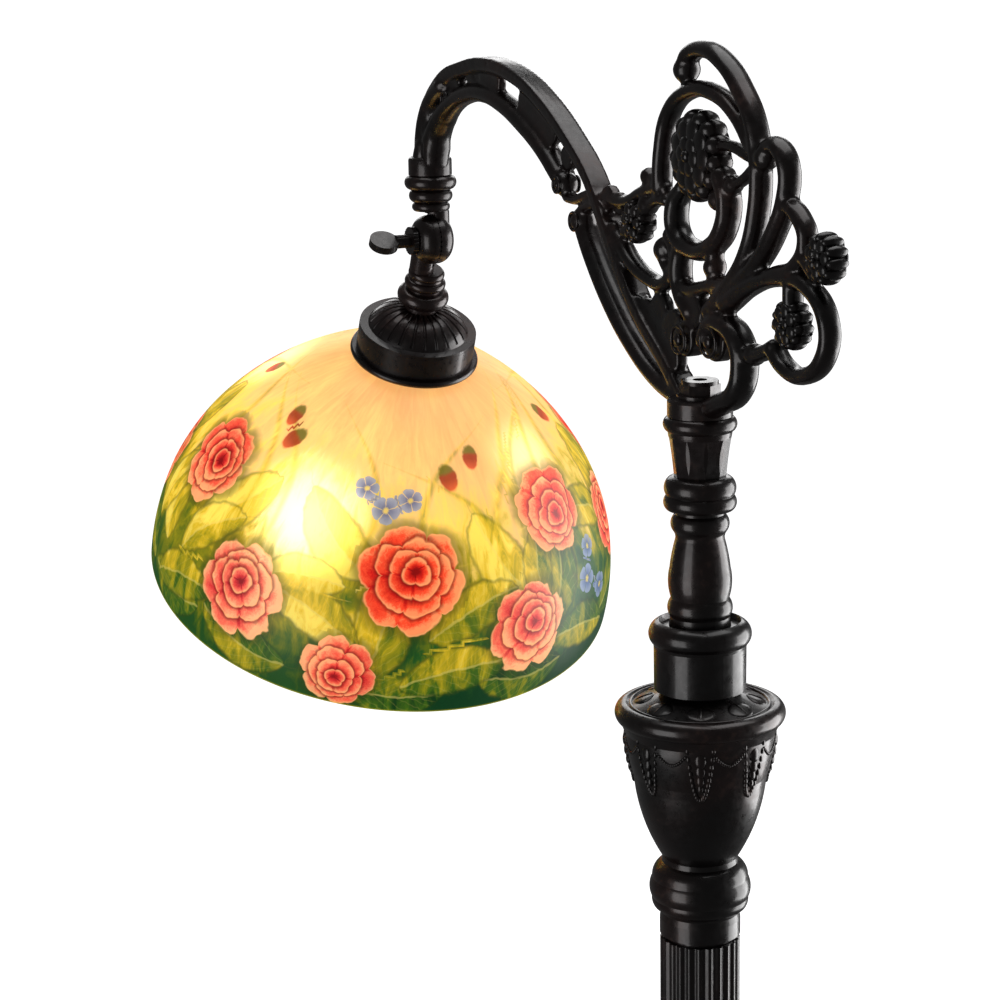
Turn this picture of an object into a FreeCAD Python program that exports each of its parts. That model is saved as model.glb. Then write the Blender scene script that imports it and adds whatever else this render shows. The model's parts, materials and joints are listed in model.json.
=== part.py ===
import FreeCAD, Part
import math
import os
import Sketcher

# A bridge floor lamp: a weighted round base, a fluted column in two lengths, an urn
# with a drip dish, a turned neck, and a cast arm of open scrollwork that reaches out
# and carries a glass shade on a swivel. Millimetres, +Z up. The origin is where the
# pole's axis meets the floor. The arm lies in the XZ plane, with the shade at -X.

Vector = FreeCAD.Vector
Rotation = FreeCAD.Rotation
doc = FreeCAD.newDocument("BridgeLamp")
sheet = doc.addObject("Spreadsheet::Sheet", "Sizes")
cells = []
pieces = []


class Size:
    """A length, held as its number and as the expression that gives it."""

    def __init__(self, value, text):
        self.value = value
        self.text = text

    def __add__(self, other):
        return Size(self.value + other.value, f"{self.text} + {other.text}")

    def __sub__(self, other):
        return Size(self.value - other.value, f"{self.text} - ({other.text})")

    def __mul__(self, factor):
        return Size(self.value * factor, f"({self.text}) * {factor:.9g}")

    def __truediv__(self, divisor):
        return self * (1 / divisor)

    def __neg__(self):
        return Size(-self.value, f"-({self.text})")


ZERO = Size(0.0, "0mm")


def cell(name, value):
    """Write a value into the sheet under its own name."""
    cells.append(name)
    row = len(cells)
    sheet.set(f"A{row}", name)
    sheet.set(f"B{row}", str(value))
    sheet.setAlias(f"B{row}", name)
    sheet.recompute()
    return value


def named(name, value):
    """A length with a name in the sheet."""
    return Size(float(cell(name, value)), f"Sizes.{name} * 1mm")


# ---- sizes that more than one piece reads -------------------------------------------

rod_radius = named("rod_radius", 4.9)
rod_bore = named("rod_bore", 3.2)
rod_slip = named("rod_slip", 0.2)
rod_hole = rod_radius + rod_slip
column_radius = named("column_radius", 18.4)
column_wall = named("column_wall", 2.2)
spigot_slip = named("spigot_slip", 0.2)
spigot_length = named("spigot_length", 8)
spigot_radius = column_radius - column_wall - spigot_slip
collar_radius = column_radius + named("collar_overlap", 2.1)
nut_size = named("nut_size", 9.2)
nut_height = named("nut_height", 4.6)
washer_height = named("washer_height", 1.5)
arm_reach = named("arm_reach", 290.7)
swivel_height = named("swivel_height", 46.3)
ball_radius = named("ball_radius", 13.2)
face_gap = named("face_gap", 0.3)
key_radius = named("key_radius", 2.4)
key_slip = named("key_slip", 0.05)
band_radius = named("band_radius", 32.2)
seat_gap = named("seat_gap", 0.3)
tilt_degrees = cell("shade_tilt", 23)
head_turn = "180deg + Sizes.shade_tilt * 1deg"


# ---- helpers for turned pieces --------------------------------------------------------

def new_sketch(body, name, role):
    """A sketch on one of the body's own origin planes."""
    plane = next(f for f in body.Origin.OriginFeatures if f.Role == role)
    sketch = body.newObject("Sketcher::SketchObject", name)
    sketch.AttachmentSupport = (plane, "")
    sketch.MapMode = "FlatFace"
    return sketch


def hold(sketch, geometry, corner, axis, size, name):
    """Pin one point of a sketch at its distance from the origin along one axis."""
    if abs(size.value) < 1e-9:
        rail = -2 if axis == "X" else -1
        sketch.addConstraint(Sketcher.Constraint("PointOnObject", geometry, corner, rail))
        return
    points = (-1, 1, geometry, corner)
    if size.value < 0:
        points = (geometry, corner, -1, 1)
        size = -size
    index = sketch.addConstraint(Sketcher.Constraint(f"Distance{axis}", *points, size.value))
    sketch.renameConstraint(index, name)
    sketch.setExpression(f"Constraints.{name}", size.text)


def side(start, end, fullness):
    """A line, or an arc that bulges outwards by a share of its chord, and which of its
    ends is the first and which the last."""
    first = Vector(start[0].value, start[1].value, 0)
    last = Vector(end[0].value, end[1].value, 0)
    if fullness == 0:
        return Part.LineSegment(first, last), 1, 2
    chord = last - first
    outward = Vector(chord.y, -chord.x, 0)
    centre = (first + last) * 0.5 - outward * (1 / (8 * fullness) - fullness / 2)
    begin = math.atan2(first.y - centre.y, first.x - centre.x)
    finish = math.atan2(last.y - centre.y, last.x - centre.x)
    circle = Part.Circle(centre, Vector(0, 0, 1), (first - centre).Length)
    if fullness > 0:
        if finish < begin:
            finish += 2 * math.pi
        return Part.ArcOfCircle(circle, begin, finish), 1, 2
    if begin < finish:
        begin += 2 * math.pi
    return Part.ArcOfCircle(circle, finish, begin), 2, 1


def arc_size(start, end, fullness):
    """The radius of such an arc, from the sizes of its two ends."""
    across = end[0] - start[0]
    rise = end[1] - start[1]
    share = 1 / (8 * abs(fullness)) + abs(fullness) / 2
    text = f"sqrt(({across.text})^2 + ({rise.text})^2) * {share:.9g}"
    return Size(math.hypot(across.value, rise.value) * share, text)


def arc_centre(start, end, fullness):
    """The centre of such an arc, from the sizes of its two ends."""
    share = 1 / (8 * fullness) - fullness / 2
    across = end[0] - start[0]
    rise = end[1] - start[1]
    return ((start[0] + end[0]) / 2 - rise * share,
            (start[1] + end[1]) / 2 + across * share)


def outline(sketch, corners):
    """Draw a closed outline from corners of radius, height and the fullness of the side
    that arrives there. Up the outside, a positive fullness swells outwards."""
    count = len(corners)
    sides = []
    for index, start in enumerate(corners):
        end = corners[(index + 1) % count]
        line, first, last = side(start, end, end[2])
        sides.append((sketch.addGeometry(line, False), first, last))
    for index, (number, first, last) in enumerate(sides):
        following, following_first, _ = sides[(index + 1) % count]
        sketch.addConstraint(
            Sketcher.Constraint("Coincident", number, last, following, following_first))
    for index, (number, first, last) in enumerate(sides):
        start = corners[index]
        end = corners[(index + 1) % count]
        hold(sketch, number, first, "X", start[0], f"radius_{index}")
        hold(sketch, number, first, "Y", start[1], f"height_{index}")
        if end[2] != 0:
            bend = arc_size(start, end, end[2])
            turn = sketch.addConstraint(Sketcher.Constraint("Radius", number, bend.value))
            sketch.renameConstraint(turn, f"bend_{index}")
            sketch.setExpression(f"Constraints.bend_{index}", bend.text)


def new_body(label):
    """An empty body with its own label."""
    body = doc.addObject("PartDesign::Body", label)
    body.Label = label
    return body


def revolve(body, name, corners, plane="XZ_Plane"):
    """Turn a closed outline about the vertical axis of its sketch."""
    sketch = new_sketch(body, f"{name}_outline", plane)
    outline(sketch, corners)
    turn = body.newObject("PartDesign::Revolution", f"{name}_turned")
    turn.Profile = sketch
    turn.ReferenceAxis = (sketch, ["V_Axis"])
    turn.Angle = 360
    return turn


def climb(label, start, rows, level=ZERO):
    """Corners up the outside of a turned piece, from rows of name, rise, the radius at
    the top of the row, and its fullness."""
    if not isinstance(start, Size):
        start = named(f"{label}_start_radius", start)
    corners = [(start, level, 0)]
    for name, rise, radius, fullness in rows:
        if isinstance(rise, Size):
            level = level + rise
        elif rise > 0:
            level = level + named(f"{label}_{name}_rise", rise)
        elif rise < 0:
            level = level - named(f"{label}_{name}_depth", -rise)
        if not isinstance(radius, Size):
            radius = named(f"{label}_{name}_radius", radius)
        corners.append((radius, level, fullness))
    return corners, level


def turned(label, start, rows, bore=rod_hole, foot=ZERO):
    """A turned piece with a straight bore, and the level of its top."""
    corners, top = climb(label, start, rows, foot)
    body = new_body(label)
    revolve(body, label, [(bore, foot, 0)] + corners + [(bore, top, 0)])
    return body, top


def ring(label, outer, inner, low, high):
    """A plain tube, washer or disc between two levels."""
    body = new_body(label)
    revolve(body, label, [(inner, low, 0), (outer, low, 0), (outer, high, 0), (inner, high, 0)])
    return body


def primitive(body, kind, name, sizes, centre=(ZERO, ZERO, ZERO), turn=None):
    """Add or cut one simple solid in a body, at a place given by sizes."""
    feature = body.newObject(f"PartDesign::{kind}", name)
    feature.Placement = FreeCAD.Placement(Vector(), turn or Rotation())
    for prop, size in sizes.items():
        if isinstance(size, Size):
            feature.setExpression(prop, size.text)
        else:
            setattr(feature, prop, size)
    for axis, size in zip("xyz", centre):
        feature.setExpression(f"Placement.Base.{axis}", size.text)
    return feature


def around(body, feature, count, role="Z_Axis"):
    """Repeat a feature about one of the body's own axes."""
    axis = next(f for f in body.Origin.OriginFeatures if f.Role == role)
    pattern = body.newObject("PartDesign::PolarPattern", f"{feature.Name}_round")
    pattern.Originals = [feature]
    pattern.Axis = (axis, [""])
    pattern.Angle = 360
    pattern.Occurrences = count
    body.Tip = pattern


def hexagon(label, across, height, bore, level):
    """A hexagonal nut, given by its corner radius."""
    blank = doc.addObject("Part::Prism", f"{label}_blank")
    blank.Polygon = 6
    blank.setExpression("Circumradius", across.text)
    hole = doc.addObject("Part::Cylinder", f"{label}_hole")
    hole.setExpression("Radius", bore.text)
    for part in (blank, hole):
        part.setExpression("Height", height.text)
    nut = doc.addObject("Part::Cut", label)
    nut.Base = blank
    nut.Tool = hole
    keep(nut, level)


def keep(piece, level=ZERO):
    """List a finished piece, and put it at its level on the pole."""
    if level is not ZERO:
        piece.setExpression("Placement.Base.z", level.text)
    pieces.append(piece)


def above(piece, level, height):
    """The level at some height over the foot of a piece that stands on the pole."""
    return Size(level.value + height.value, f"{piece.Name}.Placement.Base.z + {height.text}")


# ---- the base ---------------------------------------------------------------------------

base_radius = named("base_radius", 131)
pad_height = named("pad_height", 2)
pad_radius = base_radius - named("pad_inset", 4)
skirt_radius = base_radius - named("rim_wall", 6)
skirt_level = named("skirt_level", 5)
ceiling_level = named("ceiling_level", 25)
ceiling_radius = named("ceiling_radius", 96)
weight_foot = named("weight_foot", 3)
weight_radius = named("weight_radius", 110)
weight_edge = named("weight_edge", 9)
weight_top_radius = ceiling_radius - named("weight_slope_gap", 4)
recess_radius = named("recess_radius", 18)
recess_level = named("recess_level", 12.5)
gadroon_radius = named("gadroon_radius", 9)
gadroon_depth = named("gadroon_depth", 2)
gadroon_inset = named("gadroon_inset", 4)
gadroon_length = named("gadroon_length", 36)
outlet_radius = named("outlet_radius", 4.6)
outlet_bore = named("outlet_bore", 3.1)
outlet_level = named("outlet_level", 8.5)
outlet_flange = named("outlet_flange", 6.4)
flange_height = named("flange_height", 1.6)
outlet_reach = named("outlet_reach", 13)
spot_face = base_radius - named("spot_depth", 1.6)
about_y = Rotation(Vector(1, 0, 0), 90)
facing_back = Rotation(Vector(1, 0, 0), -90)

keep(ring("foot_pad", pad_radius, ZERO, ZERO, pad_height))

base_outside, base_height = climb("base", base_radius, [
    ("edge", 4, base_radius, 0),
    ("rim", 9, 127, 0.3),
    ("rim_step", 2, 121, 0),
    ("cove", 12, 104, -0.15),
    ("ring", 6, 100, 0.35),
    ("dome", 18, 52, 0),
    ("dome_step", 2, 46, 0),
    ("neck", 7, 34, -0.2),
])
base = new_body("base_casting")
revolve(base, "base", base_outside + [
    (rod_hole, base_height, 0),
    (rod_hole, ceiling_level, 0),
    (ceiling_radius, ceiling_level, 0),
    (skirt_radius, skirt_level, 0),
    (skirt_radius, ZERO, 0),
])
dome_foot = base_outside[5]
dome_slope = 69.4
groove_start = gadroon_radius - gadroon_depth
gadroon = primitive(base, "SubtractiveCylinder", "gadroon",
                    {"Radius": gadroon_radius, "Height": gadroon_length},
                    (dome_foot[0] - gadroon_inset + groove_start * math.cos(math.radians(dome_slope)),
                     ZERO, dome_foot[1] + groove_start), Rotation(Vector(0, 1, 0), -dome_slope))
around(base, gadroon, cell("gadroon_count", 16))
primitive(base, "SubtractiveCylinder", "spot_face",
          {"Radius": outlet_flange + seat_gap, "Height": outlet_reach},
          (ZERO, spot_face, outlet_level), facing_back)
primitive(base, "SubtractiveCylinder", "outlet_hole",
          {"Radius": outlet_radius + rod_slip, "Height": outlet_reach * 2},
          (ZERO, spot_face - outlet_reach, outlet_level), facing_back)
keep(base, pad_height)

weight = new_body("base_weight")
revolve(weight, "weight", [
    (recess_radius, weight_foot, 0),
    (weight_radius, weight_foot, 0),
    (weight_radius, weight_foot + weight_edge, 0),
    (weight_top_radius, ceiling_level, 0),
    (rod_hole, ceiling_level, 0),
    (rod_hole, recess_level, 0),
    (recess_radius, recess_level, 0),
])
keep(weight, pad_height)

bushing = new_body("cord_bushing")
bushing_foot = flange_height - outlet_reach
revolve(bushing, "cord_bushing", [
    (outlet_bore, bushing_foot, 0),
    (outlet_radius, bushing_foot, 0),
    (outlet_radius, ZERO, 0),
    (outlet_flange, ZERO, 0),
    (outlet_flange, flange_height / 2, 0),
    (outlet_flange - flange_height / 2, flange_height, 0.2),
    (outlet_bore, flange_height, 0),
])
bushing.Placement = FreeCAD.Placement(Vector(), facing_back)
bushing.setExpression("Placement.Base.y", spot_face.text)
keep(bushing, pad_height + outlet_level)

washer_radius = recess_radius - named("washer_inset", 2)
washer_level = pad_height + recess_level - washer_height
keep(ring("base_washer", washer_radius, rod_hole, ZERO, washer_height), washer_level)
hexagon("base_nut", nut_size, nut_height, rod_hole, washer_level - nut_height)

# ---- the pole -------------------------------------------------------------------------------

spigot_down = [("spigot", spigot_length, spigot_radius, 0)]
spigot_up = [("spigot_seat", ZERO, spigot_radius, 0),
             ("top_spigot", spigot_length, spigot_radius, 0)]

cup, cup_top = turned("foot_cup", 31, [
    ("foot", 3, 31, 0),
    ("cove", 8, 22, -0.25),
    ("bead", 5, 22, 0.4),
    ("bell", 14, 28, -0.12),
    ("shoulder", 12, 25, 0.25),
    ("lip", 3, 23, 0),
    ("collar", 3, collar_radius, 0),
] + spigot_up)
cup_level = pad_height + base_height
keep(cup, cup_level)

flute_radius = named("flute_radius", 1.75)
flute_lift = named("flute_lift", 0.75)
flute_count = cell("flute_count", 24)


def column(label, length):
    """A length of fluted tube."""
    body = ring(label, column_radius, column_radius - column_wall, ZERO, length)
    flute = primitive(body, "SubtractiveCylinder", f"{label}_flute",
                      {"Radius": flute_radius, "Height": length},
                      (column_radius + flute_lift, ZERO, ZERO))
    around(body, flute, flute_count)
    return body


lower_length = named("lower_column_length", 465)
lower_level = above(cup, cup_level, cup_top - spigot_length)
lower = column("lower_column", lower_length)
keep(lower, lower_level)

knop, knop_top = turned("knop", spigot_radius, spigot_down + [
    ("low_seat", ZERO, collar_radius, 0),
    ("low_ring", 4, collar_radius, 0),
    ("low_cove", 8, 17, -0.25),
    ("low_bead", 5, 17, 0.45),
    ("belly", 16, 27, 0.12),
    ("belly_top", 12, 20, 0.3),
    ("high_bead", 5, 19, 0.4),
    ("high_cove", 10, 18.6, -0.15),
    ("high_ring", 5, collar_radius, 0),
] + spigot_up)
knop_level = above(lower, lower_level, lower_length - spigot_length)
keep(knop, knop_level)

upper_length = named("upper_column_length", 478.8)
upper_level = above(knop, knop_level, knop_top - spigot_length)
upper = column("upper_column", upper_length)
keep(upper, upper_level)

cap, cap_top = turned("column_cap", spigot_radius, spigot_down + [
    ("ring_seat", ZERO, 18.55, 0),
    ("ring", 7.3, 18.55, 0),
    ("neck", 3, 18, 0),
    ("flare", 3, 21.2, -0.1),
    ("step", 4.4, 22.1, 0.1),
    ("torus", 9.3, 22.05, 0.13),
    ("bead", 7.8, 17.5, 0.15),
    ("top", 2.2, 17, 0),
])
cap_level = above(upper, upper_level, upper_length - spigot_length)
keep(cap, cap_level)

urn, urn_top = turned("urn", 17, [
    ("bowl", 35.9, 29.9, 0.055),
    ("band", 4.3, 30.7, 0),
    ("brim", 20, 34.3, 0.03),
])
urn_level = above(cap, cap_level, cap_top)
keep(urn, urn_level)

dish, dish_top = turned("drip_dish", 34.3, [
    ("under", 4.5, 36.2, 0),
    ("rim", 9, 33.6, 0.4),
    ("gutter", -1.2, 31.5, 0),
    ("cone", 5.7, 17, 0),
])
dish_level = above(urn, urn_level, urn_top)
keep(dish, dish_level)

drum, drum_top = turned("collar_drum", 17, [
    ("chamfer", 1.9, 20.8, 0),
    ("wall", 19.7, 20.9, 0),
    ("step", 1.4, 21.3, 0),
    ("bead", 10.5, 18.5, 0.3),
    ("recess", -2.5, 17.5, 0),
])
drum_level = above(dish, dish_level, dish_top)
keep(drum, drum_level)

neck, neck_top = turned("turned_neck", 14, [
    ("foot", 4.5, 13.4, 0),
    ("foot_bead", 8.5, 13.1, 0.17),
    ("belly", 13.9, 13.7, 0.07),
    ("waist", 13.3, 11.1, 0.02),
    ("cove", 3.6, 12, -0.1),
    ("bead", 7.8, 11.2, 0.2),
    ("top", 2.1, 11.2, 0),
])
neck_level = above(drum, drum_level, drum_top)
keep(neck, neck_level)

beads, beads_top = turned("double_bead", 14.9, [
    ("low", 6.4, 15.1, 0.22),
    ("high", 6.6, 15.2, 0.15),
    ("top", 2, 12.5, 0.1),
])
beads_level = above(neck, neck_level, neck_top)
keep(beads, beads_level)

stem_foot = named("faceted_foot_radius", 11.8)
faceted, faceted_top = turned("faceted_collar", stem_foot, [
    ("stem", 18.8, 14.2, -0.02),
    ("fillet", 1.5, 14.4, 0),
    ("bead", 7, 13.8, 0.34),
])
facet_length = named("facet_length", 18)
facet_slope = 7.3
facet = primitive(faceted, "SubtractiveBox", "facet",
                  {"Length": facet_length, "Width": facet_length, "Height": facet_length},
                  (stem_foot - named("facet_inset", 0.75), -facet_length / 2, ZERO),
                  Rotation(Vector(0, 1, 0), facet_slope))
around(faceted, facet, cell("facet_count", 10))
faceted_level = above(beads, beads_level, beads_top)
keep(faceted, faceted_level)
arm_level = above(faceted, faceted_level, faceted_top)

# The rod runs inside the pole in two lengths that meet in a coupling.
hub_height = named("hub_height", 8)
coupling_drop = named("coupling_drop", 24)
coupling_length = named("coupling_length", 26)
coupling_radius = named("coupling_radius", 8)
top_washer_radius = named("top_washer_radius", 10.5)
top_cap_radius = named("top_cap_radius", 8.3)
top_cap_height = named("top_cap_height", 1.8)
rod_foot = washer_level - nut_height - named("rod_foot_stub", 1)
rod_joint = above(lower, lower_level, lower_length - coupling_drop)
rod_restart = rod_joint + named("rod_end_gap", 0.5)
top_washer_level = above(faceted, faceted_level, faceted_top + hub_height)
top_nut_level = top_washer_level + washer_height
top_cap_level = top_nut_level + nut_height
keep(ring("lower_rod", rod_radius, rod_bore, ZERO, rod_joint - rod_foot), rod_foot)
keep(ring("upper_rod", rod_radius, rod_bore, ZERO, top_cap_level - rod_restart), rod_restart)
keep(ring("rod_coupling", coupling_radius, rod_hole, ZERO, coupling_length),
     rod_joint - coupling_length / 2)
keep(ring("top_washer", top_washer_radius, rod_hole, ZERO, washer_height), top_washer_level)
hexagon("top_nut", nut_size, nut_height, rod_hole, top_nut_level)
keep(ring("top_cap", top_cap_radius, rod_bore, ZERO, top_cap_height), top_cap_level)

# ---- the swivel -------------------------------------------------------------------------------

ball_depth = named("ball_depth", 9.6)
ball_edge = named("ball_edge", 1.6)
ball_back = named("ball_back_radius", 7.4)
stem_radius = named("stem_radius", 6.6)
stem_offset = named("stem_offset", 3.4)
tooth_size = named("tooth_size", 0.75)
tooth_foot = named("tooth_foot", 6.2)
tooth_length = named("tooth_length", 9)
tooth_count = cell("tooth_count", 32)
notch_clearance = named("notch_clearance", 1)
nipple_reach = named("nipple_reach", 9.5)
nipple_depth = nipple_reach + seat_gap
key_hole = key_radius + key_slip


def swivel_half(label, facing, stem_length, foot_radius, rows):
    """Half of the swivel: a toothed disc, and a stem with beads that ends in a bore."""
    body = new_body(label)
    face = face_gap * (facing / 2)
    revolve(body, f"{label}_disc", [
        (key_hole, face, 0),
        (ball_radius, face, 0),
        (ball_radius, face + ball_edge * facing, 0),
        (ball_back, ball_depth * facing, 0.16 * facing),
        (key_hole, ball_depth * facing, 0),
    ], "XY_Plane")
    primitive(body, "AdditiveCylinder", f"{label}_stem",
              {"Radius": stem_radius, "Height": stem_length},
              (ZERO, stem_offset * facing, ZERO))
    room = ball_radius + notch_clearance
    start = face - room * 2 if facing > 0 else face
    primitive(body, "SubtractiveBox", f"{label}_notch",
              {"Length": room * 2, "Width": room * 2, "Height": room * 2},
              (-room, start, -room))
    corners, top = climb(label, foot_radius, rows, stem_length)
    revolve(body, f"{label}_beads", [(ZERO, stem_length, 0)] + corners + [(ZERO, top, 0)])
    primitive(body, "SubtractiveCylinder", f"{label}_bore",
              {"Radius": rod_hole, "Height": nipple_depth * 2},
              (ZERO, ZERO, top - nipple_depth))
    primitive(body, "SubtractiveCylinder", f"{label}_key_hole",
              {"Radius": key_hole, "Height": ball_depth * 4},
              (ZERO, -ball_depth * 2, ZERO), facing_back)
    tooth = primitive(body, "SubtractiveBox", f"{label}_tooth",
                      {"Length": tooth_size, "Width": tooth_size, "Height": tooth_length},
                      (ZERO, face - tooth_size * 0.7071, tooth_foot),
                      Rotation(Vector(0, 0, 1), 45))
    around(body, tooth, tooth_count, "Y_Axis")
    return body, top


swivel_top, swivel_top_length = swivel_half(
    "swivel_upper_half", 1, named("upper_stem_length", 15.4), 8.8, [
        ("small", 4.6, 8.8, 0.3),
        ("medium", 6.7, 10, 0.33),
        ("large", 7.3, 12, 0.38),
    ])
swivel_level = above(faceted, faceted_level, faceted_top + swivel_height)
swivel_top.setExpression("Placement.Base.x", (-arm_reach).text)
keep(swivel_top, swivel_level)
boss_level = swivel_height + swivel_top_length

swivel_low, swivel_low_length = swivel_half(
    "swivel_lower_half", -1, named("lower_stem_length", 18.3), 8.4, [
        ("small", 4.5, 8.6, 0.3),
        ("medium_seat", 0.9, 9, 0),
        ("medium", 5, 9.2, 0.42),
        ("waist", 1.7, 9.2, 0),
        ("large_seat", 0, 10.4, 0),
        ("large", 8.6, 10.4, 0.42),
        ("neck_seat", 0, 9, 0),
        ("neck", 3.2, 9, 0),
    ])


def hang(piece):
    """Put a piece of the shade's side at the swivel, pointing down the shade's axis."""
    piece.Placement = FreeCAD.Placement(
        Vector(), Rotation(Vector(0, 1, 0), 180 + tilt_degrees))
    piece.setExpression("Placement.Rotation.Angle", head_turn)
    piece.setExpression("Placement.Base.x", (-arm_reach).text)
    piece.setExpression("Placement.Base.z", f"{swivel_top.Name}.Placement.Base.z")
    pieces.append(piece)


hang(swivel_low)
swivel_nipple = ring("swivel_nipple", rod_radius, rod_bore, -nipple_reach, nipple_reach)
swivel_nipple.setExpression("Placement.Base.x", (-arm_reach).text)
keep(swivel_nipple, above(faceted, faceted_level, faceted_top + boss_level))

# The key that clamps the swivel: a screw with a knurled ferrule and a flat paddle.
ferrule_radius = named("ferrule_radius", 7.5)
ferrule_length = named("ferrule_length", 2.6)
ferrule_gap = named("ferrule_gap", 0.8)
shank_reach = named("shank_reach", 8.5)
key_stem_radius = named("key_stem_radius", 3.65)
key_stem_length = named("key_stem_length", 7)
paddle_radius = named("paddle_radius", 7.8)
paddle_thickness = named("paddle_thickness", 4.2)
paddle_sink = named("paddle_sink", 1)
knurl_size = named("knurl_size", 0.6)
paddle_degrees = 30
paddle_lean = math.radians(paddle_degrees)
ferrule_start = -ball_depth - ferrule_gap
ferrule_end = ferrule_start - ferrule_length
key_stem_end = ferrule_end - key_stem_length
key = new_body("clamp_key")
revolve(key, "clamp_key", [
    (ZERO, shank_reach, 0),
    (key_radius, shank_reach, 0),
    (key_radius, ferrule_start, 0),
    (ferrule_radius, ferrule_start, 0),
    (ferrule_radius, ferrule_end, 0),
    (key_stem_radius, ferrule_end, 0),
    (key_stem_radius, key_stem_end - paddle_sink, 0),
    (ZERO, key_stem_end - paddle_sink, 0),
], "XY_Plane")
primitive(key, "AdditiveCylinder", "paddle",
          {"Radius": paddle_radius, "Height": paddle_thickness},
          (paddle_thickness * (-math.sin(paddle_lean) / 2), key_stem_end - paddle_radius,
           paddle_thickness * (-math.cos(paddle_lean) / 2)),
          Rotation(Vector(0, 1, 0), paddle_degrees))
knurl = primitive(key, "SubtractiveCylinder", "knurl",
                  {"Radius": knurl_size, "Height": ferrule_length},
                  (ferrule_radius + knurl_size / 3, ferrule_end, ZERO), facing_back)
around(key, knurl, cell("knurl_count", 24), "Y_Axis")
key.setExpression("Placement.Base.x", (-arm_reach).text)
keep(key, swivel_level)

# ---- the shade's side: every level here is measured down the shade's axis ------------------

cap_wall = named("cap_wall", 1.6)
cap_neck_radius = named("cap_neck_radius", 9.3)
cap_dome_radius = named("cap_dome_radius", 27.5)
cap_dome_height = named("cap_dome_height", 12.4)
cap_fullness = 0.12
cap_foot = swivel_low_length
cap_flange_radius = band_radius - named("cap_flange_step", 0.1)
cap_low = (cap_neck_radius, cap_foot)
cap_high = (cap_dome_radius, cap_foot + cap_dome_height)
fitter_foot = cap_high[1] + cap_wall
fluted_cap = new_body("fluted_cap")
revolve(fluted_cap, "fluted_cap", [
    (rod_hole, cap_foot, 0),
    cap_low + (0,),
    cap_high + (cap_fullness,),
    (cap_flange_radius, cap_high[1], 0),
    (cap_flange_radius, fitter_foot, 0),
    (cap_dome_radius - cap_wall, fitter_foot, 0),
    (cap_neck_radius, cap_foot + cap_wall * 1.5, -cap_fullness),
    (rod_hole, cap_foot + cap_wall * 1.5, 0),
])
cap_centre = arc_centre(cap_low, cap_high, cap_fullness)
cap_bend = arc_size(cap_low, cap_high, cap_fullness)
cap_flute = primitive(fluted_cap, "SubtractiveTorus", "cap_flute",
                      {"Radius1": cap_bend + named("cap_flute_lift", 0.3),
                       "Radius2": named("cap_flute_radius", 1.05), "Angle3": 52},
                      (cap_centre[0], ZERO, cap_centre[1]),
                      about_y.multiply(Rotation(Vector(0, 0, 1), -84)))
around(fluted_cap, cap_flute, cell("cap_flute_count", 24))
hang(fluted_cap)

fitter_wall = named("fitter_wall", 1.8)
lip_radius = band_radius + named("lip_overhang", 2.3)
lip_height = named("lip_height", 3.3)
lip_opening = named("lip_opening", 25.5)
lip_level = fitter_foot + named("band_length", 13.3)
glass_seat = lip_level + lip_height
band_inside = band_radius - fitter_wall
fitter = new_body("fitter_ring")
revolve(fitter, "fitter_ring", [
    (rod_hole, fitter_foot, 0),
    (band_radius, fitter_foot, 0),
    (band_radius, lip_level, 0),
    (lip_radius, lip_level, 0),
    (lip_radius, glass_seat, 0.25),
    (lip_opening, glass_seat, 0),
    (lip_opening, glass_seat - fitter_wall, 0),
    (band_inside, glass_seat - fitter_wall, 0),
    (band_inside, fitter_foot + fitter_wall, 0),
    (rod_hole, fitter_foot + fitter_wall, 0),
])
hang(fitter)


def shell(nodes, wall):
    """Both sides of a turned shell, from the nodes of its outside."""
    inside = []
    for index, (radius, level, fullness) in enumerate(nodes):
        before = nodes[max(index - 1, 0)]
        after = nodes[min(index + 1, len(nodes) - 1)]
        across = after[0].value - before[0].value
        rise = after[1].value - before[1].value
        if radius is ZERO:
            across, rise = -1, 0
        elif after[0] is ZERO:
            across, rise = 0, 1
        chord = math.hypot(across, rise)
        inner_radius = ZERO if radius is ZERO else radius - wall * (rise / chord)
        bend = nodes[index + 1][2] if index + 1 < len(nodes) else 0
        inside.append((inner_radius, level + wall * (across / chord), -bend))
    return nodes + inside[::-1]


glass_wall = named("glass_wall", 3.2)
hole_radius = named("glass_hole_radius", 21)
glass_top = glass_seat + seat_gap
glass_outside, rim_level = climb("glass", hole_radius, [
    ("crown", 0.4, 27.5, 0),
    ("shoulder", 16.0, 58.6, 0.023),
    ("upper", 20.2, 85.1, 0.0215),
    ("middle", 27.4, 109.5, 0.029),
    ("lower", 34.3, 126.6, 0.037),
    ("skirt", 46.1, 132.7, 0.0386),
], glass_top)
glass = new_body("glass_shade")
revolve(glass, "glass_shade", shell(glass_outside, glass_wall))
hang(glass)

washer_spigot = hole_radius - seat_gap
shade_washer_radius = hole_radius + named("shade_washer_overlap", 4)
shade_washer_level = glass_top + glass_wall + seat_gap * 2
locknut_level = shade_washer_level + washer_height
socket_level = locknut_level + nut_height
shade_washer = new_body("shade_washer")
revolve(shade_washer, "shade_washer", [
    (rod_hole, glass_top, 0),
    (washer_spigot, glass_top, 0),
    (washer_spigot, shade_washer_level, 0),
    (shade_washer_radius, shade_washer_level, 0),
    (shade_washer_radius, locknut_level, 0),
    (rod_hole, locknut_level, 0),
])
hang(shade_washer)
hang(ring("socket_locknut", nut_size, rod_hole, locknut_level, socket_level))

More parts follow.
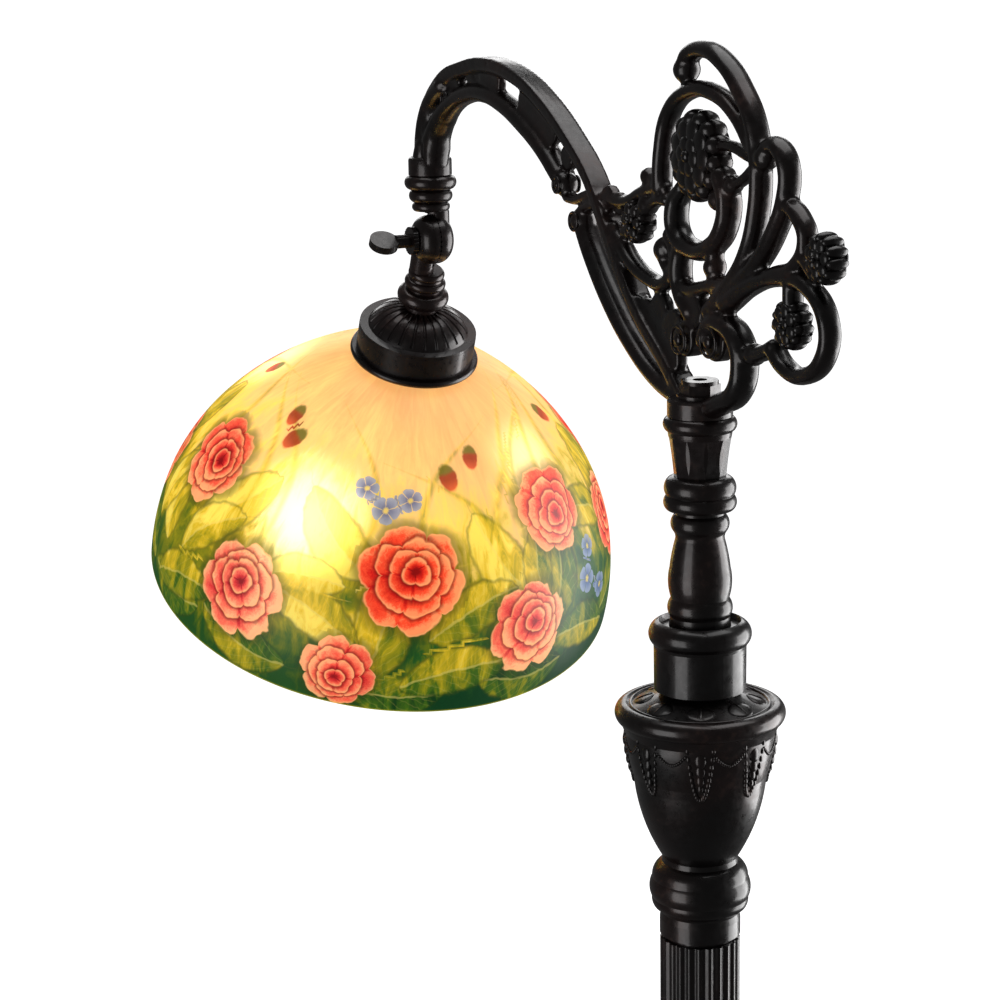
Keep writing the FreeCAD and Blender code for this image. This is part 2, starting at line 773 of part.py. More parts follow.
# The socket, its lining, and the contacts inside it.
shell_radius = named("shell_radius", 17.4)
shell_wall = named("shell_wall", 0.9)
liner_wall = named("liner_wall", 1.2)
socket_cap_height = named("socket_cap_height", 15)
shell_length = named("socket_shell_length", 44)
screw_inner = named("screw_inner_radius", 13.3)
screw_wall = named("screw_wall", 0.8)
screw_length = named("screw_shell_length", 22)
contact_radius = named("contact_radius", 4)
contact_height = named("contact_height", 2.2)
shell_foot = socket_level + socket_cap_height
shell_end = shell_foot + shell_length
shoulder_level = shell_foot - socket_cap_height / 3
neck_radius = rod_hole + nut_height
shell_inside = shell_radius - shell_wall
socket_cap = new_body("socket_cap")
revolve(socket_cap, "socket_cap", [
    (rod_hole, socket_level, 0),
    (neck_radius, socket_level, 0),
    (shell_radius, shoulder_level, 0.18),
    (shell_radius, shell_foot, 0),
    (shell_inside, shell_foot, 0),
    (shell_inside, shoulder_level, 0),
    (neck_radius, socket_level + shell_wall * 1.6, -0.18),
    (rod_hole, socket_level + shell_wall * 1.6, 0),
])
hang(socket_cap)
hang(ring("lamp_nipple", rod_radius, rod_bore, cap_foot - nipple_reach,
          socket_level + shell_wall * 4))
hang(ring("socket_shell", shell_radius, shell_inside, shell_foot, shell_end))
liner_radius = shell_inside - seat_gap
hang(ring("socket_liner", liner_radius, liner_radius - liner_wall, shell_foot,
          shell_end + liner_wall))
block_radius = liner_radius - liner_wall - seat_gap
block_level = shell_foot + named("socket_block_height", 9)
hang(ring("socket_block", block_radius, rod_bore, shell_foot, block_level))
screw_radius = screw_inner + screw_wall
screw_end = block_level + screw_length
screw_hole = contact_radius * 2
socket_screw = new_body("socket_screw_shell")
revolve(socket_screw, "socket_screw_shell", [
    (screw_hole, block_level, 0),
    (screw_radius, block_level, 0),
    (screw_radius, screw_end, 0),
    (screw_inner, screw_end, 0),
    (screw_inner, block_level + screw_wall, 0),
    (screw_hole, block_level + screw_wall, 0),
])
hang(socket_screw)
contact_level = block_level + contact_height
hang(ring("socket_contact", contact_radius, ZERO, block_level, contact_level))

# The bulb, from its contact tip to the top of its glass.
quarter = (math.sqrt(2) - 1) / 2
bulb_radius = named("bulb_radius", 30)
bulb_wall = named("bulb_wall", 1.2)
tip_height = named("bulb_tip_height", 4)
cup_radius = screw_inner - named("bulb_slip", 0.25)
tip_radius = contact_radius - bulb_wall / 4
tip_level = contact_level + seat_gap
cup_foot = tip_level + tip_height
cup_floor = cup_foot + bulb_wall
cup_end = cup_foot + named("bulb_base_length", 22)
cup_inside = cup_radius - bulb_wall / 2
bulb_cup = new_body("bulb_base")
revolve(bulb_cup, "bulb_base", [
    (contact_radius, cup_foot, 0),
    (cup_radius - bulb_wall, cup_foot, 0),
    (cup_radius, cup_floor, 0.2),
    (cup_radius, cup_end, 0),
    (cup_inside, cup_end, 0),
    (cup_inside, cup_floor, 0),
    (contact_radius, cup_floor, 0),
])
hang(bulb_cup)
bulb_tip = new_body("bulb_tip")
revolve(bulb_tip, "bulb_tip", [
    (ZERO, tip_level, 0),
    (tip_radius, tip_level + tip_height / 2, 0.2),
    (tip_radius, cup_floor, 0),
    (ZERO, cup_floor, 0),
])
hang(bulb_tip)
bulb_glass = new_body("bulb_glass")
bulb_outside, bulb_end = climb("bulb", cup_radius, [
    ("throat", 8, 14.4, 0),
    ("flare", 26, 27, -0.02),
    ("waist", 13, bulb_radius, 0.06),
    ("crown", bulb_radius, ZERO, quarter),
], cup_end)
revolve(bulb_glass, "bulb_glass", shell(bulb_outside, bulb_wall))
hang(bulb_glass)

# ---- the cast arm: one piece of scrollwork, drawn in the XZ plane ----------------------------

scroll_end = named("scroll_end", 133)
web_depth = named("web_depth", 5)
end_radius = named("arm_end_radius", 10.3)
boss_radius = named("boss_radius", 11.3)
boss_height = named("boss_height", 10.7)
hub_radius = named("hub_radius", 14.6)
end_points = [(-290.7, 86.3), (-289.6, 97.3), (-284.2, 109.8), (-276, 118.3), (-266, 123.8)]


def spot(x, z):
    """A point of the arm's drawing. The rails beyond the scroll stretch to the reach."""
    drawn_rails = end_points[0][0] + scroll_end.value
    if x < -scroll_end.value:
        share = (scroll_end.value - arm_reach.value) / drawn_rails
        x = (x + scroll_end.value) * share - scroll_end.value
    return Vector(x, 0, z)


def mirrored(direction, chord):
    """The direction in which an arc leaves its chord, from how it arrived."""
    along = Vector(chord).normalize()
    return along * (2 * direction.dot(along)) - direction


def headings(points):
    """The direction of a smooth curve at each of its points."""
    found = []
    for before, here, after in zip(points, points[1:], points[2:]):
        arriving = here - before
        leaving = after - here
        share = leaving.Length / arriving.Length
        found.append((arriving * share + leaving / share).normalize())
    found.insert(0, mirrored(found[0], points[1] - points[0]))
    found.append(mirrored(found[-1], points[-1] - points[-2]))
    return found


def meeting_point(start, heading, end, end_heading):
    """Where two tangent arcs meet on the way from one point to the next."""
    gap = end - start
    spread = 2 * (1 - heading.dot(end_heading))
    forward = gap.dot(heading + end_heading)
    if spread < 1e-9:
        distance = gap.dot(gap) / (4 * gap.dot(end_heading))
    else:
        distance = (math.sqrt(forward ** 2 + spread * gap.dot(gap)) - forward) / spread
    return (start + end + (heading - end_heading) * distance) * 0.5


def bend(start, heading, end):
    """An arc that leaves a point along a heading."""
    chord = end - start
    along = Vector(chord).normalize()
    across = heading - along * heading.dot(along)
    if across.Length < 1e-4:
        return Part.LineSegment(start, end).toShape()
    sagitta = chord.Length / 2 * math.tan(math.acos(heading.dot(along)) / 2)
    middle = (start + end) * 0.5 + across.normalize() * sagitta
    return Part.Arc(start, middle, end).toShape()


def vine(radius, points, lift=0.0):
    """A round rod along a smooth run of arcs through points, a little to the front or
    the back of the arm's middle plane."""
    stops = [spot(*point) + Vector(0, lift, 0) for point in points]
    aims = headings(stops)
    edges = []
    for index in range(len(stops) - 1):
        start, end = stops[index], stops[index + 1]
        middle = meeting_point(start, aims[index], end, aims[index + 1])
        edges.append(bend(start, aims[index], middle))
        edges.append(bend(middle, mirrored(aims[index], middle - start), end))
    profile = Part.Wire(Part.Circle(stops[0], aims[0], radius).toShape())
    return Part.Wire(edges).makePipeShell([profile], True, False)


def web(points, depth=web_depth):
    """A flat web between the rods, as deep as given on both sides together."""
    corners = [spot(*point) for point in points]
    half = Vector(0, depth.value / 2, 0)
    face = Part.Face(Part.makePolygon([c - half for c in corners + corners[:1]]))
    return face.extrude(half * 2)


def flower(x, z, radius, depth, petals, turn):
    """A flower seen from both sides: bevelled petals round a disc with a boss."""
    centre = spot(x, z)
    petal_radius = radius * 0.36
    half = Vector(0, depth * 0.35, 0)
    disc = Part.makeCylinder(radius * 0.74, depth * 0.7, centre - half, Vector(0, 1, 0))
    parts = [disc, Part.makeSphere(radius * 0.34, centre)]
    for index in range(petals):
        angle = math.radians(turn + 360 * index / petals)
        out = Vector(math.cos(angle), 0, math.sin(angle)) * (radius - petal_radius)
        for facing in (-1, 1):
            parts.append(Part.makeCone(petal_radius, petal_radius * 0.62, depth / 2,
                                       centre + out, Vector(0, facing, 0)))
    return parts


vines = [
    (4.1, [(-13, 150.5), (5, 160), (36, 144), (51, 112), (41, 75), (11, 48)]),
    (3.85, [(-34, 97), (-26, 130), (-8, 141), (14, 141.3), (48, 119)]),
    (4.6, [(-13, 98), (-22, 88), (-5, 72.8), (22, 84.5), (20, 108)]),
    (4.05, [(54.5, 118), (64, 123.2), (73.3, 114), (64, 88), (16, 50)]),
    (3.75, [(72, 100), (88, 87), (80, 75.5), (40, 60)]),
    (3.9, [(26, 53), (68, 69), (90, 68), (105, 50), (86, 30.8), (63, 38.5)]),
    (5.1, [(12, 3.8), (33, 15), (35, 38), (8.5, 35)]),
    (3.5, [(-76, 72), (-55, 57.5), (-31, 54.5), (-25, 77)]),
    (4.5, [(-270, 125.5), (-241, 138.5), (-213, 142), (-150, 127.3), (-101, 95.4),
           (-72, 59), (-34, 23), (-11, 4.6)]),
    (5.0, [(-272, 109), (-240, 126), (-218, 127.9), (-133, 94)]),
    (5.2, [(-111, 74.5), (-60, 24), (-12, 4.6)]),
    (2.8, [(-125, 82), (-113, 84), (-100, 89)]),
    (3.05, [(-111, 77), (-104, 82), (-96, 85)]),
    (3.25, [(-72, 86), (-50, 94), (-33, 99)]),
    (2.9, [(-28, 92), (-38, 91), (-47, 86)]),
    (2.4, [(-46, 101), (-38, 100), (-30, 97)]),
    (2.45, [(16, 118), (28, 120), (50, 114)]),
    (2.55, [(16, 107), (29, 104), (47, 113)]),
    (4.0, [(-14, 75), (-15, 57), (-8, 43)]),
    (3.35, [(-20, 58), (-8, 55), (28, 62)]),
    (3.4, [(38, 34), (48, 33), (64, 39)]),
]
buds = [(-13, 150.5, 5), (-129, 90, 6), (-111, 74.5, 6.5), (-30, 70, 6), (18, 97, 5.2),
        (55, 118.5, 4.5), (13, 67, 5), (-46, 101, 4), (47, 34, 4.2), (-47, 88, 5),
        (-8, 33, 8), (17, 36, 6.5), (-258, 122.5, 6), (20, 108, 4.6), (-25, 77, 4),
        (-268, 123, 10.5)]
flowers = [(1, 114, 20, 11, 8, 22), (-56, 80, 10.5, 8, 6, 90), (77, 51, 11, 8.5, 6, 60),
           (102, 81, 10.5, 9, 6, 90)]
webs = [
    [(-223, 141), (-203, 141), (-203, 125), (-223, 127)],
    [(-174, 137), (-137, 121), (-139, 100), (-172, 116)],
    [(-127, 114), (-119, 109), (-124, 91), (-133, 94)],
    [(-268, 128), (-246, 137), (-243, 126), (-262, 114)],
    [(-90, 84), (-88, 94), (-74, 91), (-60, 84), (-74, 80), (-84, 76)],
    [(-55, 42), (-45, 47), (-30, 46), (-18, 44), (-10, 36), (-14, 14), (-30, 24), (-45, 34)],
    [(-56, 80), (-46, 90), (-42, 86), (-50, 76)],
    [(-58, 72), (-50, 72), (-46, 55), (-54, 57)],
    [(77, 51), (86, 51), (84, 68), (75, 68)],
    [(102, 81), (96, 72), (84, 78), (90, 88)],
    [(-6, 96), (8, 96), (10, 76), (-6, 74)],
    [(-6, 128), (8, 128), (8, 142), (-6, 142)],
    [(-24, 60), (-31, 70), (-25, 78), (-19, 70)],
    [(10, 60), (16, 60), (16, 76), (10, 76)],
    [(68, 54), (79, 54), (79, 68), (68, 69)],
    [(-10, 45), (-18, 44), (-8, 33), (6, 40), (8, 46)],
]
end_foot = Vector(-arm_reach.value, 0, boss_level.value)
ends = [
    vine(end_radius.value, end_points),
    Part.makeCylinder(boss_radius.value, boss_height.value, end_foot),
    Part.makeCylinder(hub_radius.value, hub_height.value),
]
blooms = [solid for details in flowers for solid in flower(*details)]
groups = [
    [vine(radius, points, 0.3 * (index * 3 % 7 - 3)) for index, (radius, points) in enumerate(vines)],
    [Part.makeSphere(radius, spot(x, z)) for x, z, radius in buds],
    [web(points) for points in webs],
    blooms + ends,
]
casting = Part.Shape()
for group in groups:
    joined = group[0].multiFuse(group[1:])
    casting = joined if casting.isNull() else casting.fuse(joined)
nut_room = top_washer_radius + seat_gap
below_size = hub_radius.value * 4
below = Part.makeBox(below_size, below_size, below_size,
                     Vector(-below_size / 2, -below_size / 2, -below_size))
casting = casting.cut([
    below,
    Part.makeCylinder(rod_hole.value, hub_height.value),
    Part.makeCylinder(nut_room.value, hub_height.value, Vector(0, 0, hub_height.value)),
    Part.makeCylinder(rod_hole.value, nipple_depth.value, end_foot),
])
arm = doc.addObject("Part::Feature", "bridge_arm")
arm.Shape = casting.removeSplitter()
keep(arm, arm_level)

# ---- check every piece, then write it ----------------------------------------------------------

doc.recompute()
for thing in doc.Objects:
    if "Invalid" in thing.State or "Error" in thing.State:
        raise RuntimeError(f"{thing.Name} failed to compute: {thing.State}")
os.makedirs("parts", exist_ok=True)
for piece in pieces:
    shape = piece.Shape
    if shape.isNull() or not shape.isValid() or len(shape.Solids) != 1:
        raise RuntimeError(f"{piece.Label} is not one sound solid")
    shape.exportStep(f"parts/{piece.Label}.step")
print(len(pieces), "pieces,", len(cells), "sizes")
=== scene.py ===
import json
import math

import bpy
import bmesh
import numpy as np
from mathutils import Matrix, Vector


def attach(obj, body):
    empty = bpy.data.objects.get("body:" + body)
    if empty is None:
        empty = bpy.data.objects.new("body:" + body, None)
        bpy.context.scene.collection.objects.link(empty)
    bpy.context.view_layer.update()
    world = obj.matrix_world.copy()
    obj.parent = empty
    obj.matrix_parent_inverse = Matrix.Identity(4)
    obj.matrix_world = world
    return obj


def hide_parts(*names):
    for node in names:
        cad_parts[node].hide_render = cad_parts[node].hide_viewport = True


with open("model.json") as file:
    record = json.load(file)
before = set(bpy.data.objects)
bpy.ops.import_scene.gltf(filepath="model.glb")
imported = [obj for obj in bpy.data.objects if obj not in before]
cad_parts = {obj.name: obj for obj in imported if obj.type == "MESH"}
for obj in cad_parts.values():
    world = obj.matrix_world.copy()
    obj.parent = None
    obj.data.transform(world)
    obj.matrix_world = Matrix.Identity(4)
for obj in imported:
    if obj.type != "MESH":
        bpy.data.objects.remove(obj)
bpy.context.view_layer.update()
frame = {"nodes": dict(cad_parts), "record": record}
nodes = frame["nodes"]

# the part's own measures, in millimetres
reach = 290.7
armLevel = 1361.0
swivelLevel = armLevel + 46.3
tilt = math.radians(23)

# camera, floor and light

view = {"around": 65, "above": 13, "roll": -1.0175, "lens": 93.6,
        "place": (0.98170, -0.55575, 1.5838)}


def makeCamera():
    around = math.radians(view["around"])
    above = math.radians(view["above"])
    back = Vector((math.sin(around) * math.cos(above), -math.cos(around) * math.cos(above),
                   math.sin(above)))
    right = Vector((math.cos(around), math.sin(around), 0))
    turn = Matrix.Rotation(math.radians(view["roll"]), 3, back)
    right = turn @ right
    up = back.cross(right)
    data = bpy.data.cameras.new("camera")
    data.lens = view["lens"]
    data.sensor_width = 36
    data.clip_end = 200
    camera = bpy.data.objects.new("camera", data)
    camera.matrix_world = Matrix.Translation(view["place"]) @ Matrix(
        (right, up, back)).transposed().to_4x4()
    bpy.context.scene.collection.objects.link(camera)
    bpy.context.scene.camera = camera


studio = {"world": 0.1, "floor": (0.9, 0.9, 0.9), "floorGlow": 1.05,
          "left": 26, "right": 84, "top": 40, "behind": 16}


def softbox(name, place, aim, size, power):
    data = bpy.data.lights.new(name, "AREA")
    data.shape = "RECTANGLE"
    data.size, data.size_y = size
    data.energy = power
    lamp = bpy.data.objects.new(name, data)
    lamp.location = place
    lamp.rotation_euler = (Vector(aim) - Vector(place)).to_track_quat("-Z", "Y").to_euler()
    lamp.visible_camera = False
    bpy.context.scene.collection.objects.link(lamp)


def makeStudio():
    world = bpy.data.worlds.new("studio")
    world.use_nodes = True
    world.node_tree.nodes["Background"].inputs["Color"].default_value = (1, 1, 1, 1)
    world.node_tree.nodes["Background"].inputs["Strength"].default_value = studio["world"]
    bpy.context.scene.world = world
    bpy.context.scene.view_settings.view_transform = "Standard"
    paper = bpy.data.materials.new("paperFloor")
    paper.use_nodes = True
    shader = paper.node_tree.nodes["Principled BSDF"]
    shader.inputs["Base Color"].default_value = (*studio["floor"], 1)
    shader.inputs["Roughness"].default_value = 0.9
    shader.inputs["Emission Color"].default_value = (1, 1, 1, 1)
    shader.inputs["Emission Strength"].default_value = studio["floorGlow"]
    bm = bmesh.new()
    bmesh.ops.create_circle(bm, cap_ends=True, segments=96, radius=90)
    mesh = bpy.data.meshes.new("floor")
    bm.to_mesh(mesh)
    bm.free()
    mesh.materials.append(paper)
    floor = bpy.data.objects.new("floor", mesh)
    floor.visible_glossy = False
    floor.visible_diffuse = False
    bpy.context.scene.collection.objects.link(floor)
    softbox("leftLight", (0.5, -2.2, 0.95), (-0.1, 0, 1.1), (1.3, 2.0), studio["left"])
    softbox("rightLight", (0.3, 2.2, 0.95), (0, 0, 1.1), (1.8, 2.2), studio["right"])
    softbox("topLight", (-0.3, 0.4, 3.5), (-0.1, 0, 1.3), (2.2, 2.2), studio["top"])
    softbox("behindLight", (-2.6, 1.2, 2.2), (0, 0, 1.35), (2.4, 0.8), studio["behind"])


makeCamera()
makeStudio()
print("stage: camera, floor and light")

# helpers for materials


def ink(code):
    parts = [int(code[i:i + 2], 16) / 255 for i in (1, 3, 5)]
    return [p / 12.92 if p <= 0.04045 else ((p + 0.055) / 1.055) ** 2.4 for p in parts] + [1]


def newMaterial(name):
    material = bpy.data.materials.new(name)
    material.use_nodes = True
    tree = material.node_tree
    return material, tree, tree.nodes["Principled BSDF"]


def feed(tree, socket, value):
    if isinstance(value, bpy.types.NodeSocket):
        tree.links.new(value, socket)
    else:
        socket.default_value = value


def sums(tree, operation, first, second=0.0, third=0.0, clamp=False):
    node = tree.nodes.new("ShaderNodeMath")
    node.operation = operation
    node.use_clamp = clamp
    for socket, value in zip(node.inputs, (first, second, third)):
        feed(tree, socket, value)
    return node.outputs[0]


def blendInk(tree, share, first, second, how="MIX"):
    node = tree.nodes.new("ShaderNodeMix")
    node.data_type = "RGBA"
    node.blend_type = how
    node.clamp_factor = True
    feed(tree, node.inputs[0], share)
    feed(tree, node.inputs[6], first)
    feed(tree, node.inputs[7], second)
    return node.outputs[2]


def soften(tree, value, low, high, start=0.0, end=1.0):
    node = tree.nodes.new("ShaderNodeMapRange")
    node.interpolation_type = "SMOOTHSTEP"
    feed(tree, node.inputs["Value"], value)
    for socket, number in zip(("From Min", "From Max", "To Min", "To Max"),
                              (low, high, start, end)):
        node.inputs[socket].default_value = number
    return node.outputs[0]


def inkRamp(tree, value, stops):
    node = tree.nodes.new("ShaderNodeValToRGB")
    ramp = node.color_ramp
    while len(ramp.elements) < len(stops):
        ramp.elements.new(0.5)
    for element, (place, code) in zip(ramp.elements, stops):
        element.position = place
        element.color = ink(code)
    feed(tree, node.inputs[0], value)
    return node.outputs[0]


def grain(tree, vector, scale, detail=3.0, rough=0.55, warp=0.0):
    node = tree.nodes.new("ShaderNodeTexNoise")
    feed(tree, node.inputs["Vector"], vector)
    node.inputs["Scale"].default_value = scale
    node.inputs["Detail"].default_value = detail
    node.inputs["Roughness"].default_value = rough
    node.inputs["Distortion"].default_value = warp
    return node.outputs["Fac"]


def placed(tree, scale=(1, 1, 1)):
    coordinate = tree.nodes.new("ShaderNodeTexCoord")
    mapping = tree.nodes.new("ShaderNodeMapping")
    mapping.inputs["Scale"].default_value = scale
    tree.links.new(coordinate.outputs["Object"], mapping.inputs["Vector"])
    return mapping.outputs[0]


def bump(tree, shader, height, strength, distance=0.0005):
    node = tree.nodes.new("ShaderNodeBump")
    node.inputs["Strength"].default_value = strength
    node.inputs["Distance"].default_value = distance
    feed(tree, node.inputs["Height"], height)
    tree.links.new(node.outputs[0], shader.inputs["Normal"])


def attribute(tree, name):
    node = tree.nodes.new("ShaderNodeAttribute")
    node.attribute_name = name
    return node


# finishes

bronzeFinish = {"dark": "#0E0B0B", "brown": "#231615", "worn": "#38251F", "roughness": (0.26, 0.4),
                "metallic": 0.5, "coat": 0.3}


def bronzeMaterial():
    material, tree, shader = newMaterial("castBronze")
    place = placed(tree)
    clouds = grain(tree, place, 14, 4, 0.6, 0.4)
    specks = grain(tree, place, 260, 3, 0.6)
    tone = inkRamp(tree, soften(tree, clouds, 0.38, 0.72),
                   [(0, bronzeFinish["dark"]), (1, bronzeFinish["brown"])])
    worn = soften(tree, sums(tree, "MULTIPLY", clouds, specks), 0.3, 0.42)
    tone = blendInk(tree, sums(tree, "MULTIPLY", worn, 0.5), tone, ink(bronzeFinish["worn"]))
    tree.links.new(tone, shader.inputs["Base Color"])
    tree.links.new(soften(tree, specks, 0.3, 0.7, *bronzeFinish["roughness"]),
                   shader.inputs["Roughness"])
    shader.inputs["Metallic"].default_value = bronzeFinish["metallic"]
    shader.inputs["Coat Weight"].default_value = bronzeFinish["coat"]
    shader.inputs["Coat Roughness"].default_value = 0.12
    bump(tree, shader, grain(tree, place, 420, 2, 0.5), 0.12, 0.0003)
    return material


def plainFinish(name, low, high, roughness, metallic=0.0, scale=120, stretch=(1, 1, 1),
                relief=0.1):
    material, tree, shader = newMaterial(name)
    place = placed(tree, stretch)
    cloud = grain(tree, place, scale, 4, 0.6)
    tree.links.new(inkRamp(tree, cloud, [(0.3, low), (0.7, high)]), shader.inputs["Base Color"])
    tree.links.new(soften(tree, cloud, 0.25, 0.75, *roughness), shader.inputs["Roughness"])
    shader.inputs["Metallic"].default_value = metallic
    bump(tree, shader, cloud, relief, 0.0004)
    return material


bronze = bronzeMaterial()
felt = plainFinish("padFelt", "#1B1A1A", "#3A3836", (0.9, 1.0), 0, 900, relief=0.6)
castIron = plainFinish("castIron", "#2A2A2C", "#4A4846", (0.55, 0.8), 0.7, 300, relief=0.4)
rubber = plainFinish("bushingRubber", "#0E0E0E", "#1E1E1E", (0.45, 0.6), 0, 500)
zinc = plainFinish("zincPlate", "#8C8A80", "#C2BDAC", (0.22, 0.4), 1, 160, (1, 1, 0.1))
brass = plainFinish("satinBrass", "#9A7432", "#C9A255", (0.2, 0.36), 1, 200, (1, 1, 0.15))
fibre = plainFinish("liningFibre", "#7C5E3C", "#A98A60", (0.75, 0.9), 0, 700, relief=0.4)
porcelain = plainFinish("socketPorcelain", "#D8D4C8", "#F0EDE4", (0.25, 0.4), 0, 240)
screwMetal = plainFinish("screwMetal", "#A0A0A2", "#D4D4D6", (0.18, 0.34), 1, 220, (1, 1, 0.2))

finishOf = {"bronze": bronze, "felt": felt, "iron": castIron, "bushing": rubber,
            "plated_steel": zinc, "brass": brass, "liner": fibre, "porcelain": porcelain,
            "screw_shell": screwMetal, "painted_glass": porcelain, "bulb_glass": porcelain}
for part in frame["record"]["subparts"]:
    slots = nodes[part["node"]].data.materials
    slots.clear()
    slots.append(finishOf[part["material_slot"]])
print("stage: finishes")

# helpers for pieces

headTurn = Matrix.Translation((-reach / 1000, 0, swivelLevel / 1000)) @ Matrix.Rotation(
    math.radians(180) + tilt, 4, "Y")


def finishPiece(name, bm, body, material, place=None, sharp=35, merge=1e-6):
    bmesh.ops.remove_doubles(bm, verts=bm.verts, dist=merge)
    bmesh.ops.recalc_face_normals(bm, faces=bm.faces)
    if place is not None:
        bmesh.ops.transform(bm, matrix=place, verts=bm.verts)
    mesh = bpy.data.meshes.new(name)
    bm.to_mesh(mesh)
    bm.free()
    mesh.materials.append(material)
    mesh.shade_smooth()
    mesh.set_sharp_from_angle(angle=math.radians(sharp))
    piece = bpy.data.objects.new(name, mesh)
    bpy.context.scene.collection.objects.link(piece)
    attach(piece, body)
    return piece


def arcPoints(start, end, fullness, count):
    if not fullness:
        return [end]
    chord = Vector(end) - Vector(start)
    outward = Vector((chord.y, -chord.x))
    middle = (Vector(start) + Vector(end)) / 2 - outward * (1 / (8 * fullness) - fullness / 2)
    first, last = Vector(start) - middle, Vector(end) - middle
    sweep = first.angle_signed(last) * -1
    points = []
    for step in range(1, count + 1):
        turn = Matrix.Rotation(sweep * step / count, 2)
        points.append(tuple(middle + turn @ first))
    return points


def profile(start, rows, steps=6):
    points = [start]
    for radius, rise, fullness in rows:
        end = (radius, points[-1][1] + rise)
        points += arcPoints(points[-1], end, fullness, steps)
    return points


def spun(points, segments):
    bm = bmesh.new()
    line = [bm.verts.new((radius / 1000, 0, height / 1000)) for radius, height in points]
    edges = [bm.edges.new(pair) for pair in zip(line, line[1:] + line[:1])]
    bmesh.ops.spin(bm, geom=line + edges, cent=(0, 0, 0), axis=(0, 0, 1),
                   angle=math.tau, steps=segments, use_merge=True)
    return bm


def torus(radius, thick, segments, place, axis=None):
    ring = spun([(radius + thick * math.cos(math.tau * k / 10), thick * math.sin(math.tau * k / 10))
                 for k in range(10)], segments)
    turn = Matrix.Rotation(math.pi / 2, 4, axis) if axis else Matrix()
    bmesh.ops.transform(ring, verts=ring.verts, matrix=Matrix.Translation(place) @ turn)
    mesh = bpy.data.meshes.new("ring")
    ring.to_mesh(mesh)
    ring.free()
    return mesh


# the cast arm

